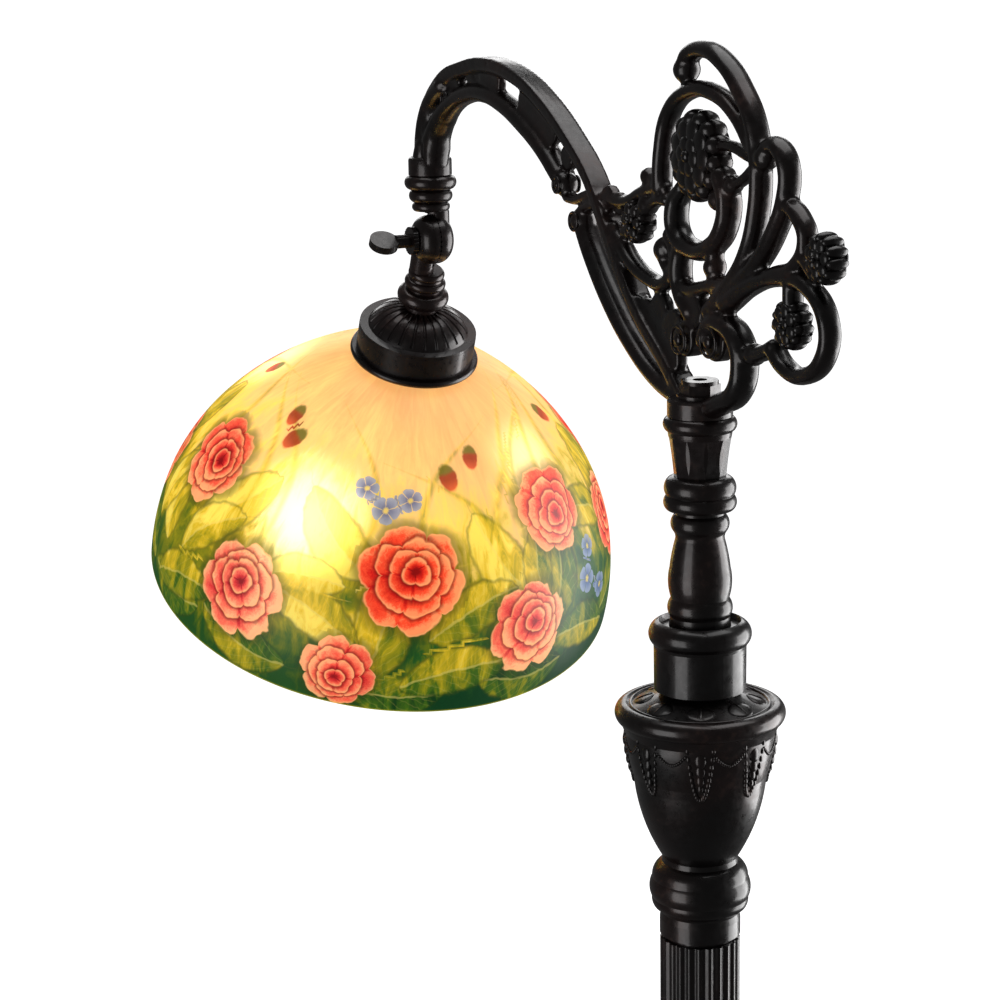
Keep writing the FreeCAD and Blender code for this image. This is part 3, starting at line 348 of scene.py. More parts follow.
# rods of the scrollwork: radius in millimetres, then points of reach and height over the hub,
# each with its own share of the radius where the rod swells or thins
armForm = {
    "voxel": 1.05, "depth": 1.38, "melt": 4, "seat": 34, "farEnd": -270,
    "flatRail": {"rod": 8, "above": 3.3, "halfWidth": 3.6, "edge": 0.9},
    "hub": [(5.1, 0), (14.6, 0), (14.6, 6.6), (13.8, 7.7), (12.6, 8), (5.1, 8)],
    "sleeve": [(5.1, 0), (11.0, 0), (11.6, 0.8), (11.6, 8.6), (11.1, 9.6), (10, 10.3),
               (5.1, 10.3)],
    # name, reach, height, radius, depth, petals and turn
    "blooms": [("bloom_main", 1, 114, 19.5, 13, 9, 20), ("bloom_left", -56, 80, 10, 10, 6, 90),
               ("bloom_tail", 77, 51, 10.5, 10, 7, 60), ("bloom_end", 102, 81, 10.5, 10.5, 7, 90)],
    # reach, height, radius and how far out from the arm's middle plane
    "eyes": [(-8, 33, 6, 6.6), (17, 35.5, 6.6, 5.8), (-258, 122.5, 4, 5.4), (-129, 90, 3.6, 5.4),
             (-111, 74.5, 4.2, 5.6)],
    "rods": [
        (4.1, [(-13, 150.5, 0.9), (-8, 156.5), (5, 159.3, 0.95), (20, 155.5), (36, 144), (47, 130),
               (51, 112), (49, 93), (41, 75), (27, 60.5), (11, 48)]),
        (3.8, [(-34, 97), (-33, 112), (-26, 130), (-8, 141), (14, 141.3), (33, 133.5), (49, 118)]),
        (4.5, [(-13, 99, 0.85), (-20, 91), (-19, 79), (-5, 72.8), (11, 75.5), (22, 84.5),
               (25, 97), (20, 107)]),
        (4.0, [(54.5, 118, 0.9), (59, 122.6, 0.9), (67, 122), (73.3, 114), (72, 102), (64, 88),
               (50, 73), (33, 61.5), (16, 50)]),
        (3.6, [(71, 101), (82, 96), (88, 87), (81, 76), (62, 69.5), (40, 60)]),
        (3.8, [(26, 53, 1.2), (45, 63, 1.1), (68, 69), (90, 68), (104, 56), (103, 42), (86, 30.8),
               (72, 32.5), (63, 38.5)]),
        (5.0, [(12, 5), (20, 8.5), (33, 15), (38.5, 27), (35, 38), (24, 43.5), (13, 42),
               (8.5, 35)]),
        (3.5, [(-76, 72), (-62, 61), (-45, 55), (-31, 54.5), (-22, 61), (-20, 70), (-25, 77)]),
        (4.3, [(-287, 103, 1.1), (-281, 118, 1.1), (-264, 132), (-241, 138.5), (-213, 142),
               (-180, 138), (-150, 127.3), (-120, 110), (-101, 95.4), (-90, 82), (-72, 59),
               (-50, 36), (-30, 21.5), (-11, 5.5)]),
        (4.9, [(-282, 100, 1.2), (-272, 111, 1.1), (-258, 120), (-240, 126), (-218, 127.9),
               (-195, 124), (-170, 115), (-150, 105.4), (-133, 94)]),
        (4.9, [(-111, 74.5, 0.9), (-100, 60, 0.95), (-80, 39.5), (-60, 24), (-35, 10.8), (-12, 5)]),
        (2.7, [(-126, 84), (-117, 84), (-108, 86.5), (-99, 89)]),
        (3.0, [(-111, 79), (-104, 82), (-96, 84)]),
        (3.0, [(-88, 88), (-66, 88), (-50, 94), (-34, 98)]),
        (2.9, [(-28, 92), (-38, 91), (-47, 86)]),
        (2.5, [(-46, 101), (-38, 100), (-30, 97)]),
        (2.6, [(14, 119), (28, 120), (42, 117)]),
        (2.5, [(18, 106), (29, 104), (38, 107), (46, 112)]),
        (4.2, [(-14, 74), (-17, 62), (-14, 52), (-6, 45)]),
        (3.4, [(-20, 58), (-8, 55), (4, 57), (16, 60), (28, 62)]),
        (3.6, [(38, 33), (48, 34), (58, 37), (64, 40)]),
        (3.6, [(77, 60), (77, 69)]),
        (3.4, [(-24, 60), (-31, 69), (-30, 72)]),
        (3.4, [(-66, 74), (-56, 80), (-46, 88)]),
        (3.0, [(13, 58), (14, 74)]),
        (3.6, [(96, 74), (88, 80)]),
        (7.4, [(-290.4, 84), (-290.2, 90), (-289, 96, 0.9)]),
        (5.6, [(-293.5, 92), (-292, 102), (-287, 113), (-277, 123), (-266, 129)]),
        (5.2, [(-283, 88), (-281.5, 95, 1.12), (-277.5, 104, 0.95), (-270, 112)]),
    ],
    "buds": [(-11.5, 150, 6), (-258, 122.5, 5.6), (-129, 90, 6), (-111, 74.5, 6.5),
             (-30, 70, 6), (17, 96.5, 5.2),
             (55.5, 117.5, 5.6), (29, 104, 4.4), (13, 67, 5.2), (-46, 101, 4.2), (47, 34, 5),
             (-47, 88, 5), (-34, 99, 4.4), (20, 107, 4.6), (-25, 77, 4.2), (63, 38.5, 4.2),
             (-78, 74, 4.2)],
    "discs": [(1, 114, 14, 7), (-56, 80, 7, 6), (77, 51, 8, 6.5), (102, 81, 7.5, 7),
              (-8, 33, 8, 8.5), (17, 35.5, 9, 7), (-2, 46, 8, 7), (-83, 88, 6, 4.5),
              (-74, 86, 5.5, 4), (-55, 40, 7, 5), (-46, 38, 8, 5), (-37, 33, 9, 5.4),
              (-27, 30, 9, 6), (-19, 36, 9, 6.4), (-34, 42, 8, 5), (-22, 22, 7, 6),
              (-232, 133, 5, 4.5), (-213, 135, 8, 4.5), (-222, 134, 6, 4), (-204, 134, 6, 4.5),
              (-168, 126, 9, 4.5), (-156, 122, 9, 4.5), (-144, 116, 9, 4.5), (-125, 103, 6, 4.5),
              (-261, 125, 7, 5), (-252, 130, 6, 5),
              (-283, 104, 6, 3.5), (-277, 113, 6, 3.5)],
}


def armSpot(x, z):
    return (x / 1000, 0, (armLevel + z) / 1000)


def settledMesh(name, data, modifiers=()):
    holder = bpy.data.objects.new(name, data)
    bpy.context.scene.collection.objects.link(holder)
    for kind, settings in modifiers:
        modifier = holder.modifiers.new(kind, kind)
        for setting, value in settings.items():
            setattr(modifier, setting, value)
    bpy.context.view_layer.update()
    ready = holder.evaluated_get(bpy.context.evaluated_depsgraph_get())
    mesh = bpy.data.meshes.new_from_object(ready)
    bpy.data.objects.remove(holder)
    return mesh


def castRods(rods):
    data = bpy.data.curves.new("rods", "CURVE")
    data.dimensions = "3D"
    data.bevel_depth = 0.001
    data.bevel_resolution = 4
    data.resolution_u = 7
    data.use_fill_caps = True
    for radius, points in rods:
        line = data.splines.new("BEZIER")
        line.bezier_points.add(len(points) - 1)
        for knot, (x, z, *share) in zip(line.bezier_points, points):
            knot.co = armSpot(x, z)
            knot.radius = radius * (share[0] if share else 1)
            knot.handle_left_type = knot.handle_right_type = "AUTO"
    return settledMesh("rods", data)


def meltTogether(bm, voxel, passes):
    mesh = bpy.data.meshes.new("melt")
    bm.to_mesh(mesh)
    bm.free()
    melted = settledMesh("melt", mesh, (("REMESH", {"mode": "VOXEL", "voxel_size": voxel / 1000}),
                                        ("SMOOTH", {"factor": 0.5, "iterations": passes})))
    bm = bmesh.new()
    bm.from_mesh(melted)
    return bm


def flatRail(points, above, halfWidth, edge):
    data = bpy.data.curves.new("rail", "CURVE")
    data.dimensions = "2D"
    data.fill_mode = "NONE"
    data.extrude = halfWidth / 1000
    data.bevel_depth = edge / 1000
    data.resolution_u = 7
    line = data.splines.new("BEZIER")
    line.bezier_points.add(len(points) - 1)
    for index, knot in enumerate(line.bezier_points):
        before, after = points[max(index - 1, 0)], points[min(index + 1, len(points) - 1)]
        along = Vector((after[0] - before[0], after[1] - before[1])).normalized()
        x, z = points[index][0] - along.y * above, points[index][1] + along.x * above
        knot.co = (x / 1000, z / 1000, 0)
        knot.handle_left_type = knot.handle_right_type = "AUTO"
    mesh = settledMesh("rail", data)
    mesh.transform(Matrix.Translation((0, 0, armLevel / 1000)) @ Matrix.Rotation(
        math.pi / 2, 4, "X"))
    return mesh


def ball(bm, x, z, radius, depth=1.0):
    bmesh.ops.create_uvsphere(
        bm, u_segments=20, v_segments=12, radius=radius / 1000,
        matrix=Matrix.Translation(armSpot(x, z)) @ Matrix.Diagonal((1, depth, 1, 1)))


def makeArm():
    bm = bmesh.new()
    bm.from_mesh(castRods(armForm["rods"]))
    for radius, points in armForm["rods"]:
        for x, z, *share in (points[0], points[-1]):
            ball(bm, x, z, radius * (share[0] if share else 1))
    for x, z, radius in armForm["buds"]:
        ball(bm, x, z, radius, 1.05 / armForm["depth"])
    rail = armForm["flatRail"]
    bm.from_mesh(flatRail(armForm["rods"][rail["rod"]][1], rail["above"], rail["halfWidth"],
                          rail["edge"]))
    for x, z, radius, depth in armForm["discs"]:
        bmesh.ops.create_cone(
            bm, cap_ends=True, segments=24, radius1=radius / 1000, radius2=radius / 1000,
            depth=depth / armForm["depth"] / 1000,
            matrix=Matrix.Translation(armSpot(x, z)) @ Matrix.Rotation(math.pi / 2, 4, "X"))
    bmesh.ops.scale(bm, vec=(1, armForm["depth"], 1), verts=bm.verts)
    bm = meltTogether(bm, armForm["voxel"], armForm["melt"])
    # the casting ends flat on the pole and, at its far end, on the swivel
    for level in (armLevel, swivelLevel + armForm["seat"]):
        near = [v for v in bm.verts if level == armLevel or v.co.x < armForm["farEnd"] / 1000]
        faces = {f for v in near for f in v.link_faces}
        geometry = near + list({e for v in near for e in v.link_edges}) + list(faces)
        cut = bmesh.ops.bisect_plane(bm, geom=geometry, plane_co=(0, 0, level / 1000),
                                     plane_no=(0, 0, 1), clear_inner=True)
        rim = [e for e in cut["geom_cut"] if isinstance(e, bmesh.types.BMEdge)]
        bmesh.ops.holes_fill(bm, edges=rim, sides=0)
    piece = finishPiece("arm_casting", bm, "stand", bronze, sharp=60)
    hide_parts("bridge_arm")
    finishPiece("arm_hub", spun(armForm["hub"], 64), "stand", bronze,
                Matrix.Translation((0, 0, armLevel / 1000)), 30)
    place = Matrix.Translation((-reach / 1000, 0, (swivelLevel + armForm["seat"]) / 1000))
    finishPiece("arm_sleeve", spun(armForm["sleeve"], 64), "stand", bronze, place, 30)


def makeBloom(name, x, z, radius, depth, petals, turn):
    bm = bmesh.new()
    centre = Vector(armSpot(x, z))
    upright = Matrix.Translation(centre) @ Matrix.Rotation(math.pi / 2, 4, "X")
    bmesh.ops.create_cone(bm, cap_ends=True, segments=48, radius1=radius * 0.8 / 1000,
                          radius2=radius * 0.8 / 1000, depth=depth * 0.8 / 1000, matrix=upright)
    # rings of petals: how many, share of the radius out, length, breadth, depth and lift
    rings = ((petals + 4, 0.8, 0.24, 0.25, 0.5, 0), (petals, 0.54, 0.3, 0.28, 0.16, 0.42),
             (petals - 3, 0.27, 0.2, 0.22, 0.14, 0.52), (1, 0, 0.14, 0.14, 0.16, 0.58))
    for count, out, length, breadth, thick, lift in rings:
        for facing in (-1, 1) if lift else (0,):
            for index in range(count):
                angle = math.radians(turn) + math.tau * (index + lift) / count
                spot = centre + radius * out / 1000 * Vector((math.cos(angle), 0, math.sin(angle)))
                spot.y = facing * depth * lift / 1000
                shape = Matrix.Diagonal((length * radius, depth * thick, breadth * radius, 1))
                bmesh.ops.create_uvsphere(
                    bm, u_segments=20, v_segments=12, radius=0.001,
                    matrix=Matrix.Translation(spot) @ Matrix.Rotation(-angle, 4, "Y") @ shape)
    finishPiece(name, bm, "stand", bronze, sharp=60)


def makeArmDetails():
    for bloom in armForm["blooms"]:
        makeBloom(*bloom)
    bm = bmesh.new()
    for x, z, radius, out in armForm["eyes"]:
        for facing in (-1, 1):
            place = Vector(armSpot(x, z)) + Vector((0, facing * out / 1000, 0))
            bm.from_mesh(torus(radius, 0.75, 28, place, "X"))
            bmesh.ops.create_uvsphere(
                bm, u_segments=20, v_segments=12, radius=radius * 0.45 / 1000,
                matrix=Matrix.Translation(place) @ Matrix.Diagonal((1, 0.6, 1, 1)))
    finishPiece("volute_eyes", bm, "stand", bronze, sharp=60)


makeArm()
makeArmDetails()
print("stage: cast arm")

# details of the pole

# urn: its outline, height under the hub and radius. chain: each leaf's height, half width and
# half length. petal: level and half sizes of a petal and its rib. dishRing: radius, thickness
# and level
poleForm = {"flutes": 24, "columnRadius": 18.4, "columnBore": 16.6, "fluteDepth": 1.15,
            "upper": (640.2, 1116.5), "pendants": 8, "petals": 8, "start": 0.275,
            "urn": [(-201, 19.1), (-195, 22), (-186.6, 25.6), (-178, 28.3), (-169.3, 29.9),
                    (-165, 30.7), (-160.7, 32), (-155, 33.1), (-149.3, 33.8), (-142, 34.3)],
            "chain": [(-149, 2.6, 3.6), (-154, 2.2, 3.2), (-158.6, 1.8, 2.8), (-162.6, 1.4, 2.4)],
            "pendantFoot": -168.5, "pendantTall": 24, "pendantHalf": 5.6, "drapeTop": -147.5,
            "drapeSag": 4.5, "drapeInset": 6.4, "around": 33,
            "petalOut": 25.2, "petalLean": 0.375,
            "petal": [(1230.6, (5.2, 6.6, 1.0)), (1231.2, (4.2, 0.7, 0.9))],
            "dishRing": (31.4, 0.9, 1.2286)}


def makeColumn(name, node, low, high):
    bm = bmesh.new()
    bmesh.ops.create_circle(bm, segments=poleForm["flutes"] * 12,
                            radius=poleForm["columnRadius"] / 1000)
    for vert in bm.verts:
        angle = math.atan2(vert.co.y, vert.co.x)
        dip = abs(math.cos(angle * poleForm["flutes"] / 2)) ** 1.6
        vert.co *= 1 - poleForm["fluteDepth"] / poleForm["columnRadius"] * (1 - dip)
        vert.co.z = low / 1000
    bore = bmesh.ops.create_circle(bm, segments=48, radius=poleForm["columnBore"] / 1000)["verts"]
    bmesh.ops.translate(bm, verts=bore, vec=(0, 0, low / 1000))
    edges = list(bm.edges)
    bmesh.ops.bridge_loops(bm, edges=edges)
    top = bmesh.ops.extrude_edge_only(bm, edges=edges)["geom"]
    raised = [v for v in top if isinstance(v, bmesh.types.BMVert)]
    bmesh.ops.translate(bm, verts=raised, vec=(0, 0, (high - low) / 1000))
    bmesh.ops.bridge_loops(bm, edges=[e for e in top if isinstance(e, bmesh.types.BMEdge)
                                      and all(v in raised for v in e.verts)])
    piece = finishPiece(name, bm, "stand", bronze, sharp=50)
    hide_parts(node)


def blob(bm, radius, angle, level, shape, lean=0.0):
    turn = Matrix.Rotation(angle, 4, "Z")
    place = turn @ Matrix.Translation((radius / 1000, 0, level / 1000))
    bmesh.ops.create_uvsphere(bm, u_segments=16, v_segments=10, radius=0.001,
                              matrix=place @ Matrix.Rotation(lean, 4, "Y") @ Matrix.Diagonal(
                                  (*shape, 1)))


def urnRadius(rel):
    heights, radii = zip(*poleForm["urn"])
    return float(np.interp(rel, heights, radii))


def repeated(name, small, count):
    mesh = bpy.data.meshes.new("one")
    small.to_mesh(mesh)
    small.free()
    bm = bmesh.new()
    for _ in range(count):
        bm.from_mesh(mesh)
        mesh.transform(Matrix.Rotation(math.tau / count, 4, "Z"))
    finishPiece(name, bm, "stand", bronze, sharp=60)


def makePoleRelief():
    # a drooping chain of leaves inside a narrow drape, hung from the urn's rim
    bm = bmesh.new()
    start = poleForm["start"]
    for rel, wide, tall in poleForm["chain"]:
        blob(bm, urnRadius(rel), start, armLevel + rel, (1.3, wide, tall), -0.08)
    for step in range(-10, 11):
        share = step / 10
        rel = poleForm["pendantFoot"] + poleForm["pendantTall"] * abs(share) ** 1.7
        sideways = poleForm["pendantHalf"] * math.copysign(abs(share) ** 0.7, share)
        swing = start + sideways / poleForm["around"]
        blob(bm, urnRadius(rel), swing, armLevel + rel, (0.9, 1.0, 1.6))
    # the drape that runs on to the next one
    inset = poleForm["drapeInset"] / poleForm["around"]
    for step in range(15):
        share = step / 14
        swing = start + inset + share * (math.tau / poleForm["pendants"] - 2 * inset)
        rel = poleForm["drapeTop"] - poleForm["drapeSag"] * math.sin(math.pi * share)
        blob(bm, urnRadius(rel), swing, armLevel + rel, (0.8, 0.9, 0.8))
    repeated("urn_relief", bm, poleForm["pendants"])
    bm = bmesh.new()
    for level, shape in poleForm["petal"]:
        blob(bm, poleForm["petalOut"], start, level, shape, poleForm["petalLean"])
    repeated("dish_relief", bm, poleForm["petals"])
    bm = bmesh.new()
    radius, thick, level = poleForm["dishRing"]
    bm.from_mesh(torus(radius, thick, 96, (0, 0, level)))
    finishPiece("dish_ring", bm, "stand", bronze, sharp=60)


makeColumn("column_flutes", "upper_column", *poleForm["upper"])
makePoleRelief()
print("stage: pole details")

# the glass shade and its painting

shadeForm = {"front": -153, "hole": 21, "foot": 73.1, "wall": 3.2, "segments": 320,
             "rows": [(27.5, 0.4, 0), (58.6, 16.0, 0.023), (85.1, 20.2, 0.0215),
                      (109.5, 27.4, 0.029), (126.6, 34.3, 0.037), (132.7, 46.1, 0.0386)]}


def shadeProfile():
    outer = profile((shadeForm["hole"], shadeForm["foot"]), shadeForm["rows"], 22)
    inner = []
    for index in range(len(outer) - 1, 0, -3):
        before = outer[max(index - 1, 0)]
        after = outer[min(index + 1, len(outer) - 1)]
        along = (Vector(after) - Vector(before)).normalized()
        inner.append((outer[index][0] - along.y * shadeForm["wall"],
                      outer[index][1] + along.x * shadeForm["wall"]))
    inner.append((shadeForm["hole"], shadeForm["foot"] + shadeForm["wall"]))
    return outer, inner


# where things are painted: degrees round from the front, millimetres down the glass,
# size in millimetres, turn in degrees, tone from 0 to 1
painting = {
    # the first list paints hot spots of bulb light: pale patches that glow more than the rest of
    # the glass
    "paintedHotSpots": [(-25, 100, 42, 0, 1), (62, 66, 30, 0, 0.4), (150, 104, 42, 0, 1),
                  (-110, 70, 34, 0, 0.5)],
    "blooms": [(9, 120, 29, 20, 0.1), (42, 154, 26, 60, 0.75), (60, 97, 25, 150, 0.25),
               (-35, 152, 27, -10, 0.9), (-67, 106, 26, 70, 0.45), (-6, 176, 21, 200, 0.6),
               (92, 136, 25, 0, 0.55), (-98, 146, 26, 30, 0.2), (120, 100, 26, 40, 0.15),
               (140, 154, 28, 0, 0.8), (178, 98, 27, 60, 0.3), (-152, 150, 26, 10, 0.7),
               (-126, 98, 25, 120, 0.4)],
    "buds": [(22, 64, 9, 165, 0.2), (34, 54, 8, 190, 0.5), (-46, 66, 9, 200, 0.3),
             (-55, 56, 8, 170, 0.6), (96, 62, 9, 170, 0.4), (150, 56, 9, 200, 0.2),
             (-150, 60, 9, 160, 0.4), (-100, 64, 8, 190, 0.6)],
    "stars": [(-1, 84, 8, 0, 0), (7, 77, 7, 30, 0), (-9, 74, 7, 50, 0), (66, 146, 9, 10, 0),
              (73, 158, 8, 40, 0), (70, 130, 7, 0, 0), (158, 130, 8, 20, 0), (-118, 130, 8, 0, 0)],
    "leaves": [(26, 138, 30, 65, 0.6), (-14, 148, 30, -70, 0.8), (22, 172, 32, 80, 0.4),
               (-20, 130, 25, 80, 1.0), (-52, 134, 27, 40, 0.8), (-56, 172, 30, 70, 0.5),
               (76, 112, 28, -60, 0.6), (48, 122, 24, 10, 0.5), (62, 172, 30, -75, 0.3),
               (-76, 136, 28, 15, 0.9), (104, 120, 28, 50, 0.6), (112, 166, 30, 80, 0.3),
               (156, 164, 30, -70, 0.4), (160, 124, 28, 40, 0.6), (-172, 136, 30, -40, 0.6),
               (-136, 124, 28, 60, 0.7), (-124, 168, 30, -80, 0.4), (-84, 172, 30, -70, 0.3)],
    "underLeaves": [(2, 152, 34, 10, 0.6), (36, 112, 30, -30, 0.9), (54, 134, 32, 20, 0.3),
                    (-32, 180, 30, -80, 0.3), (-48, 112, 30, 35, 1.0), (-72, 134, 32, -15, 0.8),
                    (8, 186, 28, 88, 0.2), (40, 182, 30, -85, 0.1), (84, 166, 32, 70, 0.2),
                    (94, 104, 30, 20, 0.6), (124, 134, 32, -10, 0.5), (146, 122, 30, 30, 0.7),
                    (176, 130, 32, 0, 0.5), (-152, 116, 30, 20, 0.6), (-120, 138, 32, -20, 0.5),
                    (-98, 112, 30, 10, 0.7), (-14, 104, 30, -50, 1.0), (-58, 182, 28, 85, 0.3)],
    "blades": [(16, 82, 46, 16, 0.6), (44, 84, 56, 30, 0.7), (52, 74, 52, 12, 0.8),
               (70, 70, 50, 24, 0.7), (82, 84, 54, 8, 0.6), (-40, 88, 48, -24, 0.9),
               (-54, 82, 46, -34, 0.8), (-8, 84, 44, -8, 0.7), (-80, 84, 46, -12, 0.7),
               (104, 80, 48, 20, 0.7), (128, 76, 46, -18, 0.7), (150, 84, 50, 12, 0.7),
               (170, 78, 48, -20, 0.7), (-160, 84, 50, 14, 0.7), (-136, 80, 46, -14, 0.7),
               (-112, 88, 50, 22, 0.7), (30, 92, 42, -32, 0.6), (60, 60, 36, 44, 0.7)],
}
reachOf = {"paintedHotSpots": (1, 1, 0), "blooms": (1, 1, 0), "buds": (1, 0.75, 0), "stars": (1, 1, 0),
           "leaves": (1, 0.5, 0.16), "underLeaves": (1, 0.5, -0.14), "blades": (1, 0.09, 0.4)}


def paintShade(mesh, outer):
    count = len(mesh.vertices)
    spots = np.empty(count * 3)
    mesh.vertices.foreach_get("co", spots)
    spots = spots.reshape(-1, 3) * 1000
    radius = np.hypot(spots[:, 0], spots[:, 1])
    around = np.arctan2(spots[:, 1], spots[:, 0])
    heights = np.array([point[1] for point in outer])
    radii = np.array([point[0] for point in outer])
    lengths = np.concatenate([[0], np.cumsum(np.hypot(np.diff(heights), np.diff(radii)))])
    # millimetres down the glass, read along the outside for both walls
    nearest = np.argmin((spots[:, 2:3] - heights) ** 2 + (radius[:, None] - radii) ** 2, axis=1)
    low = np.clip(nearest, 1, len(outer) - 2)
    alongX = radii[low + 1] - radii[low - 1]
    alongY = heights[low + 1] - heights[low - 1]
    size = np.hypot(alongX, alongY)
    down = lengths[low] + ((radius - radii[low]) * alongX
                           + (spots[:, 2] - heights[low]) * alongY) / size
    front = math.radians(shadeForm["front"])
    sheet = np.stack([np.cos(around), np.sin(around), down / 100], 1)
    put(mesh, "sheet", sheet)
    for name, spotsPainted in painting.items():
        length, breadth, bend = reachOf[name]
        best = np.full(count, 1e9)
        local = np.zeros((count, 3))
        inside = np.zeros(count)
        for degrees, level, size, turn, tone in spotsPainted:
            swing = front - around - math.radians(degrees)
            swing = (swing + np.pi) % (2 * np.pi) - np.pi
            sideways = swing * np.maximum(radius, 20)
            upward = level - down
            cosine, sine = math.cos(math.radians(turn)), math.sin(math.radians(turn))
            a = (sideways * sine + upward * cosine) / size
            b = (sideways * cosine - upward * sine) / size
            b = b - bend * (a * a - 0.35) * (1 if turn > 0 else -1)
            apart = np.hypot(a / (length * 1.1), b / breadth)
            mine = (apart < 1.5) & (apart < best)
            best = np.where(mine, apart, best)
            local[mine] = np.stack([a, b, np.full(count, tone)], 1)[mine]
            inside = np.where(mine, (apart < 1.2).astype(float), inside)
        put(mesh, name, local)
        put(mesh, name + "Near", inside)


def put(mesh, name, values):
    kind = "FLOAT" if values.ndim == 1 else "FLOAT_VECTOR"
    layer = mesh.attributes.new(name, kind, "POINT")
    layer.data.foreach_set("value" if values.ndim == 1 else "vector",
                           values.astype(np.float32).ravel())


def localSpot(tree, name, wobble=0.0, scale=3.0):
    spot = attribute(tree, name)
    split = tree.nodes.new("ShaderNodeSeparateXYZ")
    tree.links.new(spot.outputs["Vector"], split.inputs[0])
    near = attribute(tree, name + "Near").outputs["Fac"]
    a, b = split.outputs[0], split.outputs[1]
    if wobble:
        stir = grain(tree, spot.outputs["Vector"], scale, 2)
        stir = sums(tree, "MULTIPLY", sums(tree, "SUBTRACT", stir, 0.5), wobble)
        a, b = sums(tree, "ADD", a, stir), sums(tree, "SUBTRACT", b, stir)
    near = sums(tree, "GREATER_THAN", near, 0.999)
    return a, b, split.outputs[2], near, spot.outputs["Vector"]


def petals(tree, a, b, count, phase, size, shift, stir):
    a = sums(tree, "SUBTRACT", a, shift)
    distance = sums(tree, "SQRT", sums(tree, "MULTIPLY_ADD", a, a, sums(tree, "MULTIPLY", b, b)))
    lobe = sums(tree, "ABSOLUTE", sums(tree, "SINE", sums(
        tree, "MULTIPLY_ADD", sums(tree, "ARCTAN2", b, a), count / 2, phase)))
    edge = sums(tree, "MULTIPLY_ADD", sums(tree, "POWER", lobe, 0.45), size * 0.2, size * 0.8)
    edge = sums(tree, "MULTIPLY_ADD", stir, 0.2 * size, edge)
    gap = sums(tree, "SUBTRACT", edge, distance)
    return (soften(tree, gap, -0.03, 0.015), sums(tree, "DIVIDE", distance, edge),
            soften(tree, lobe, 0.0, 0.3, 1.0, 0.0), gap)


def times(tree, first, *others):
    for other in others:
        first = sums(tree, "MULTIPLY", first, other)
    return first


def paintLeaves(tree, colour, name, wide, strokes):
    blade = name == "blades"
    a, b, tone, near, _ = localSpot(tree, name, 0.02 if blade else 0.16)
    taper = sums(tree, "POWER", sums(tree, "MAXIMUM", sums(
        tree, "SUBTRACT", 1.0, times(tree, a, a)), 0.0), 0.65)
    across = sums(tree, "ABSOLUTE", b)
    gap = sums(tree, "SUBTRACT", times(tree, taper, wide), across)
    mask = times(tree, soften(tree, gap, -0.03, 0.05), near)
    share = sums(tree, "MULTIPLY_ADD", strokes, 1.3, sums(tree, "MULTIPLY_ADD", tone, 0.7, -0.3))
    share = sums(tree, "SUBTRACT", share, times(tree, soften(tree, b, -0.05, 0.05), 0.2))
    body = inkRamp(tree, share, [(0.12, "#12401A"), (0.38, "#4A701A"), (0.6, "#A89E1C"),
                                 (0.8, "#DEC22C"), (1.0, "#F4E26C")])
    if blade:
        return blendInk(tree, times(tree, mask, 0.62), colour, body)
    ribs = sums(tree, "FRACT", sums(tree, "MULTIPLY_ADD", across, -6.0, times(tree, a, 4.0)))
    vein = sums(tree, "MAXIMUM", soften(tree, across, 0.012, 0.035, 0.8, 0.0),
                times(tree, soften(tree, ribs, 0.0, 0.2, 1.0, 0.0), 0.25))
    body = blendInk(tree, times(tree, vein, 0.6), body, ink("#E2D678"))
    body = blendInk(tree, soften(tree, gap, 0.0, 0.1, 0.75, 0.0), body, ink("#1E3E12"))
    return blendInk(tree, times(tree, mask, 0.88), colour, body)


def paintBlooms(tree, colour):
    a, b, tone, near, whole = localSpot(tree, "blooms", 0.2, 2.2)
    stir = sums(tree, "SUBTRACT", grain(tree, whole, 3.4, 1, 0.5, 0.3), 0.5)
    fine = sums(tree, "SUBTRACT", grain(tree, whole, 12, 3, 0.6, 1.5), 0.5)
    flower = None
    for count, phase, size, shift in ((6, 0.3, 1.0, 0.0), (5, 1.9, 0.74, 0.07),
                                      (4, 0.7, 0.5, 0.14), (3, 2.2, 0.27, 0.19)):
        mask, depth, crease, gap = petals(tree, a, b, count, phase, size, shift, stir)
        depth = sums(tree, "ADD", depth,
                     sums(tree, "MULTIPLY_ADD", stir, 0.7, times(tree, fine, 0.45)))
        depth = sums(tree, "SUBTRACT", depth, times(tree, crease, 0.3))
        depth = sums(tree, "MULTIPLY_ADD", b, 0.16, depth)
        red = inkRamp(tree, depth, [(0.2, "#8A0A06"), (0.55, "#D4200E"), (0.82, "#F0552C"),
                                    (1.0, "#FBA068")])
        pink = inkRamp(tree, depth, [(0.2, "#8C1420"), (0.5, "#D23A40"), (0.76, "#F08068"),
                                     (1.0, "#FCC898")])
        petal = blendInk(tree, tone, red, pink)
        petal = blendInk(tree, soften(tree, gap, 0.0, 0.05, 0.5, 0.0), petal, ink("#FFD08C"))
        if flower is None:
            flower, outline, rim = petal, mask, gap
            continue
        flower = blendInk(tree, soften(tree, gap, -0.12, 0.0, 0.0, 0.8), flower, ink("#6E0E0E"))
        flower = blendInk(tree, mask, flower, petal)
    shadow = times(tree, soften(tree, rim, -0.3, 0.0, 0.0, 0.6), near)
    colour = blendInk(tree, shadow, colour, ink("#2A4416"))
    return blendInk(tree, times(tree, outline, near), colour, flower), fine


